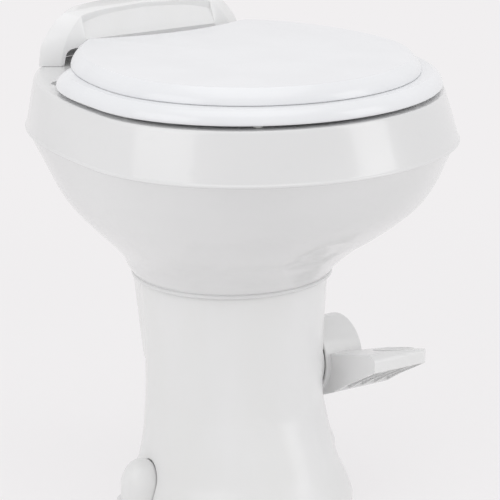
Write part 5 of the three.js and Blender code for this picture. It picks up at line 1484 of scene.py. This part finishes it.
def make_seal():
    lip = OUTLET_R + LIP_OUT
    lip_z = PIVOT_Z + math.sqrt((BALL_R + GAP) ** 2 - lip ** 2)
    corners = ((SEAL_IN_R, SEAL_LOW_Z), (SEAL_OUT_R, SEAL_LOW_Z), (SEAL_OUT_R, SEAL_HIGH_Z),
               (SEAL_TOP_R, SEAL_HIGH_Z), (lip, SEAL_HIGH_Z - LIP_DROP))
    rows = [row(disc(radius), z, FINE_ROUND) for radius, z in corners]
    rows.append(row(disc(lip), lip_z, LIP_TIP_ROUND))
    return smooth(stacked("bowl seal ring", looped(rounded(rows, closed=True)), 96, BLACK_RUBBER))


seal = make_seal()
print("seal:", len(seal.data.polygons), "faces")


# %% Make the pedal's cap
DISC_ROUND = 1.4


def make_pedal_cap():
    radius = HUB_R - HUB_WALL - GAP
    profile = [(radius, HUB_END_X - CAP_THICK, CAP_IN_ROUND), (radius, HUB_END_X, DISC_ROUND)]
    return smooth(turned_across("pedal cap disc", profile, steps=96, finish=WHITE_MOULDING))


pedal_cap = make_pedal_cap()
print("the pedal's cap:", len(pedal_cap.data.polygons), "faces")

# %% [markdown]
# ## Bumpers and screws
#
# Four rubber bumpers stand on the rim under the seat, and four screws hold the bowl's
# retaining ring. Each kind is one small piece that repeats at known places, which is what
# Instance on Points is for: the places are a mesh of loose points, and the piece is turned
# once at the origin.

# %% Tree: a copy at each place
def places_tree():
    tree = bpy.data.node_groups.new("copy at each place", "GeometryNodeTree")
    tree.interface.new_socket("Copies", in_out="OUTPUT", socket_type="NodeSocketGeometry")
    for name, kind in (("Places", "Geometry"), ("Piece", "Object"), ("Finish", "Material")):
        tree.interface.new_socket(name, in_out="INPUT", socket_type="NodeSocket" + kind)
    bench = Bench(tree)
    given = {name: bench.node("NodeGroupInput", output=name) for name in ("Places", "Piece", "Finish")}
    where = {"transform_space": "ORIGINAL"}
    shape = bench.node("GeometryNodeObjectInfo", where, {"Object": given["Piece"]}, "Geometry")
    copied = bench.node("GeometryNodeInstanceOnPoints", None, {"Points": given["Places"], "Instance": shape})
    real = bench.node("GeometryNodeRealizeInstances", None, {"Geometry": copied})
    painted = bench.node("GeometryNodeSetMaterial", None, {"Geometry": real, "Material": given["Finish"]})
    bench.node("NodeGroupOutput", None, {"Copies": painted})
    return tree


PLACES = places_tree()
print("tree", PLACES.name, "has", len(PLACES.nodes), "nodes")


# %% Copy a piece to its places
def copies(name, piece, places, finish):
    mesh = bpy.data.meshes.new(name)
    mesh.from_pydata([tuple(c * MM for c in p) for p in places], [], [])
    made = run_tree(put_in_scene(name, mesh), PLACES, Piece=piece, Finish=finish)
    bpy.data.objects.remove(piece)
    return smooth(made)


print("a piece can be copied to its places")

# %% Bumpers and screws
SCREW_POINT_SHARE, SCREW_POINT, SLOT_WIDE, SLOT_FROM_SHARE, HEAD_ROUND = 0.6, 2, 0.8, 0.45, 0.3
BUMPER_PROFILE = [(4.0, 0, 0.3), (4.5, 0.4, 0.3), (4.5, 3.4, 1.0)]


def screw(name, length, shank, head, thick, recess):
    """A screw with a domed head and a cross recess, its seat at the origin."""
    point = [(shank * SCREW_POINT_SHARE, -length, 0), (shank, -length + SCREW_POINT, 0), (shank, 0, 0)]
    piece = turned_up(name, [*point, (head, 0, HEAD_ROUND), (head, thick, LIP_ROUND)], 0, 0, 32)
    for wide, deep in ((recess, SLOT_WIDE), (SLOT_WIDE, recess)):
        low = (-wide / 2, -deep / 2, thick * SLOT_FROM_SHARE)
        combine(piece, [block("slot", low, (wide / 2, deep / 2, thick + 1))])
    return piece


bumper_shape = turned_up("bumper", BUMPER_PROFILE, 0, 0, 32)
BUMPER_PLACES = [(-86, -163, 414.3), (86, -163, 414.3), (-159, -66, 414.3), (159, -66, 414.3)]
bumpers = copies("rim bumpers", bumper_shape, BUMPER_PLACES, PALE_RUBBER)
RING_REACH, RING_TOP_Z = 63.25, 191.6
ring_places = [(RING_REACH * math.cos(a), PIVOT_Y + RING_REACH * math.sin(a), RING_TOP_Z)
               for a in (math.pi / 4 * eighth for eighth in (1, 3, 5, 7))]
ring_screw = screw("screw", length=20, shank=2, head=4.2, thick=3, recess=5)
ring_screws = copies("retaining screws", ring_screw, ring_places, ZINC_STEEL)
print("bumpers:", len(bumpers.data.polygons), "faces; screws:", len(ring_screws.data.polygons))

# %% [markdown]
# ## Small CAD pieces with eased edges
#
# The hinge posts, the spring cartridge and the vacuum breaker are close enough to a gap to be
# seen. Their shape is right in the CAD, but moulded and turned parts have no knife edges. So
# a copy of each is merged into one skin, its flats are made single faces, and its edges are
# bevelled. Deep inside pieces keep their CAD mesh and only get a finish.

# %% Ease the edges of copies
MERGE, FLAT_ANGLE = 1e-5, 1


def eased_copy(name, node, width, finish, angle=34):
    mesh = frame["nodes"][node].data.copy()
    mesh.materials.clear()
    mesh.materials.append(finish)
    piece = put_in_scene(name, mesh)
    work = bmesh.new()
    work.from_mesh(mesh)
    bmesh.ops.remove_doubles(work, verts=work.verts, dist=MERGE)
    bmesh.ops.dissolve_limit(work, angle_limit=math.radians(FLAT_ANGLE), verts=work.verts, edges=work.edges)
    work.to_mesh(mesh)
    work.free()
    return smooth(eased_edges(piece, width, angle, 2), angle)


EASED = {
    "hinge_post_left": (0.5, WHITE_MOULDING), "hinge_post_right": (0.5, WHITE_MOULDING),
    "spring_cartridge": (0.4, BLACK_MOULDING), "vacuum_breaker": (0.6, GREY_MOULDING),
    "breaker_cap": (0.5, BLACK_MOULDING), "water_valve": (0.6, BLACK_MOULDING),
    "flush_chamber": (0.5, GREY_MOULDING), "rim_nozzle": (0.3, GREY_MOULDING),
}
eased = {node: eased_copy(node.replace("_", " ") + " skin", node, *how) for node, how in EASED.items()}
print("eased", len(eased), "copies")

# %% [markdown]
# ## Every piece on its body
#
# A piece that replaces a CAD node hides it, and rides on the body that the node belongs to,
# so that it moves with the pedal, the seat or the lid.

# %% Ride and replace
def stands_for(piece, body, slot, finish, *nodes):
    piece.data.materials.clear()
    piece.data.materials.append(finish)
    for polygon in piece.data.polygons:
        polygon.material_index = 0
    piece.name = piece.name.replace(" ", "_")
    piece.data.name = piece.name
    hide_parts(*nodes)
    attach(piece, body)


WHO = (
    (bowl, "base", "ceramic", GLAZE, "bowl"),
    (stand, "base", "white_plastic", WHITE_MOULDING, "pedestal"),
    (skirt, "base", "white_plastic", WHITE_MOULDING, "rear_skirt"),
    (cover, "base", "white_plastic", WHITE_MOULDING, "rear_shroud"),
    (seat, "seat", "seat_plastic", SEAT_GLOSS, "seat_ring"),
    (lid, "cover_lid", "seat_plastic", SEAT_GLOSS, "lid"),
    (pedal, "pedal_drive", "white_plastic", WHITE_MOULDING, "pedal"),
    (pedal_cap, "pedal_drive", "white_plastic", WHITE_MOULDING, "pedal_cap"),
    (ball, "pedal_drive", "white_plastic", WHITE_MOULDING, "flush_ball"),
    (seal, "base", "rubber", BLACK_RUBBER, "bowl_seal"),
    (caps["left"], "base", "white_plastic", WHITE_MOULDING, "bolt_cover_left"),
    (caps["right"], "base", "white_plastic", WHITE_MOULDING, "bolt_cover_right"),
    (bumpers, "base", "pale_rubber", PALE_RUBBER, "seat_bumper_front_left", "seat_bumper_front_right",
     "seat_bumper_side_left", "seat_bumper_side_right"),
    (ring_screws, "base", "steel", ZINC_STEEL, *(f"retainer_screw_{number}" for number in (1, 2, 3, 4))),
)
for entry in WHO:
    stands_for(*entry)
SLOT_OF = {part["node"]: part["material_slot"] for part in frame["record"]["subparts"]}
BODY_OF = {node: body for body, nodes in frame["record"]["behaviour"]["bodies"].items() for node in nodes}
for node, piece in eased.items():
    stands_for(piece, BODY_OF[node], SLOT_OF[node], EASED[node][1], node)
print("placed", len(WHO) + len(eased), "pieces")

# %% [markdown]
# ## The CAD nodes that stay
#
# Everything that has no finer piece keeps its CAD mesh and gets the finish of its material
# slot, so pins, nuts, hoses and shafts look right where a gap or an open lid shows them.

# %% Finish the CAD nodes that stay
FINISH_OF = {
    "ceramic": GLAZE, "seat_plastic": SEAT_GLOSS, "white_plastic": WHITE_MOULDING, "pale_rubber": PALE_RUBBER,
    "rubber": BLACK_RUBBER, "grey_plastic": GREY_MOULDING, "black_plastic": BLACK_MOULDING,
    "brass": TURNED_BRASS, "steel": ZINC_STEEL,
}
for node, piece in frame["nodes"].items():
    for holder in piece.material_slots:
        holder.material = FINISH_OF[SLOT_OF[node]]
print("finished", len(frame["nodes"]), "CAD nodes")

# %% [markdown]
# ## Floor and background
#
# The toilet stands on a plain pale floor in front of a plain pale background. Near the
# object a quarter of what the camera sees is a matt surface, which takes a faint shadow, and
# the rest is the background's own tone. Further out all of it is that tone, so that no
# horizon shows. Only rays that the camera, a mirror or glass sends see the tone: Light Path
# keeps it out of the light on the object.

# %% The floor's finish
BACKGROUND = tone((241, 239, 240))
FLOOR_RADIUS, NEAR_SHARE = 6.0, 0.75


def backdrop_rays(bench):
    """1 for a ray from the camera, a mirror or glass."""
    kinds = ("Is Camera Ray", "Is Glossy Ray", "Is Transmission Ray")
    seen = [bench.node("ShaderNodeLightPath", output=name) for name in kinds]
    return seen[0].sum("MAXIMUM", seen[1].sum("MAXIMUM", seen[2]))


def floor_finish():
    material = bpy.data.materials.new("pale floor")
    material.use_nodes = True
    material.node_tree.nodes.clear()
    bench = Bench(material.node_tree)
    place = object_place(bench)
    away = bench.node("ShaderNodeVectorMath", {"operation": "LENGTH"}, {0: place}, "Value")
    further = soft_step(bench, away, low=0.5, high=1.3)
    fade = (further * (1 - NEAR_SHARE) + NEAR_SHARE) * backdrop_rays(bench)
    grain = noise(bench, place, scale=3.0, detail=2.0)
    colour = mixed(bench, grain, tone((246, 245, 245)), tone((249, 248, 248)))
    matt = bench.node("ShaderNodeBsdfDiffuse", None, {"Color": colour})
    glow = bench.node("ShaderNodeEmission", None, {"Color": BACKGROUND, "Strength": 1.0})
    both = bench.node("ShaderNodeMixShader", None, {0: fade, 1: matt, 2: glow})
    bench.node("ShaderNodeOutputMaterial", None, {"Surface": both})
    return material


print("the floor's finish is ready")


# %% Make the floor and the world
def make_floor():
    work = bmesh.new()
    bmesh.ops.create_circle(work, cap_ends=True, segments=64, radius=FLOOR_RADIUS)
    mesh = bpy.data.meshes.new("floor")
    work.to_mesh(mesh)
    work.free()
    mesh.materials.append(floor_finish())
    made = put_in_scene("floor", mesh)
    return made


def make_world(strength):
    world = bpy.data.worlds.new("studio")
    bpy.context.scene.world = world
    world.use_nodes = True
    world.node_tree.nodes.clear()
    bench = Bench(world.node_tree)
    light = bench.node("ShaderNodeBackground", None, {"Color": tone((253, 253, 254)), "Strength": strength})
    seen = bench.node("ShaderNodeBackground", None, {"Color": BACKGROUND, "Strength": 1.0})
    both = bench.node("ShaderNodeMixShader", None, {0: backdrop_rays(bench), 1: light, 2: seen})
    bench.node("ShaderNodeOutputWorld", None, {"Surface": both})


make_floor()
make_world(0.77)
print("floor and world made")

# %% [markdown]
# ## Light
#
# The photograph has two soft boxes: a broad one to the left and a narrow one in front to the
# right. Each leaves an upright bright patch on the band and a glint on the rolled edges, so
# their places were worked out backwards from where the band mirrors them. A third lamp above
# keeps the lid a little lighter than the sides.

# %% Lamps
AIM = Vector((0, -0.05, 0.3))


def soft_box(name, azimuth, elevation, distance, wide, tall, radiance):
    """An area lamp that faces the bowl; radiance 1 would look white."""
    lamp = bpy.data.lights.new(name, "AREA")
    lamp.shape = "RECTANGLE"
    lamp.size, lamp.size_y = wide, tall
    lamp.energy = radiance * math.pi * wide * tall
    made = bpy.data.objects.new(name, lamp)
    bpy.context.scene.collection.objects.link(made)
    az, el = math.radians(azimuth), math.radians(elevation)
    back = Vector((math.sin(az) * math.cos(el), -math.cos(az) * math.cos(el), math.sin(el)))
    made.location = AIM + back * distance
    made.rotation_euler = back.to_track_quat("Z", "Y").to_euler()
    return made


soft_box("broad box", azimuth=-84, elevation=27, distance=1.7, wide=1.25, tall=0.86, radiance=1.1)
soft_box("narrow box", azimuth=39, elevation=24, distance=1.7, wide=0.62, tall=1.0, radiance=1.65)
soft_box("top box", azimuth=-30, elevation=78, distance=1.9, wide=1.6, tall=1.6, radiance=0.8)
print("three soft boxes")

# %% [markdown]
# ## Camera
#
# The view was fitted to the photograph: a long lens, 34 degrees round to the left of the
# front and 16 degrees above level.

# %% Camera
AZIMUTH, ELEVATION, DISTANCE, TARGET = -34.0, 16.0, 2.4, Vector((0, -0.023, 0.256))
FOCAL_PIXELS, PICTURE, SENSOR = 2520.0, 500.0, 36.0


def make_camera():
    camera = bpy.data.cameras.new("camera")
    camera.sensor_fit = "HORIZONTAL"
    camera.sensor_width = SENSOR
    camera.lens = FOCAL_PIXELS * SENSOR / PICTURE
    camera.clip_start, camera.clip_end = 0.05, 60
    made = bpy.data.objects.new("camera", camera)
    bpy.context.scene.collection.objects.link(made)
    az, el = math.radians(AZIMUTH), math.radians(ELEVATION)
    back = Vector((math.sin(az) * math.cos(el), -math.cos(az) * math.cos(el), math.sin(el)))
    made.location = TARGET + back * DISTANCE
    made.rotation_euler = back.to_track_quat("Z", "Y").to_euler()
    bpy.context.scene.camera = made
    return made


make_camera()
bpy.context.scene.view_settings.view_transform = "Standard"
print("camera placed")
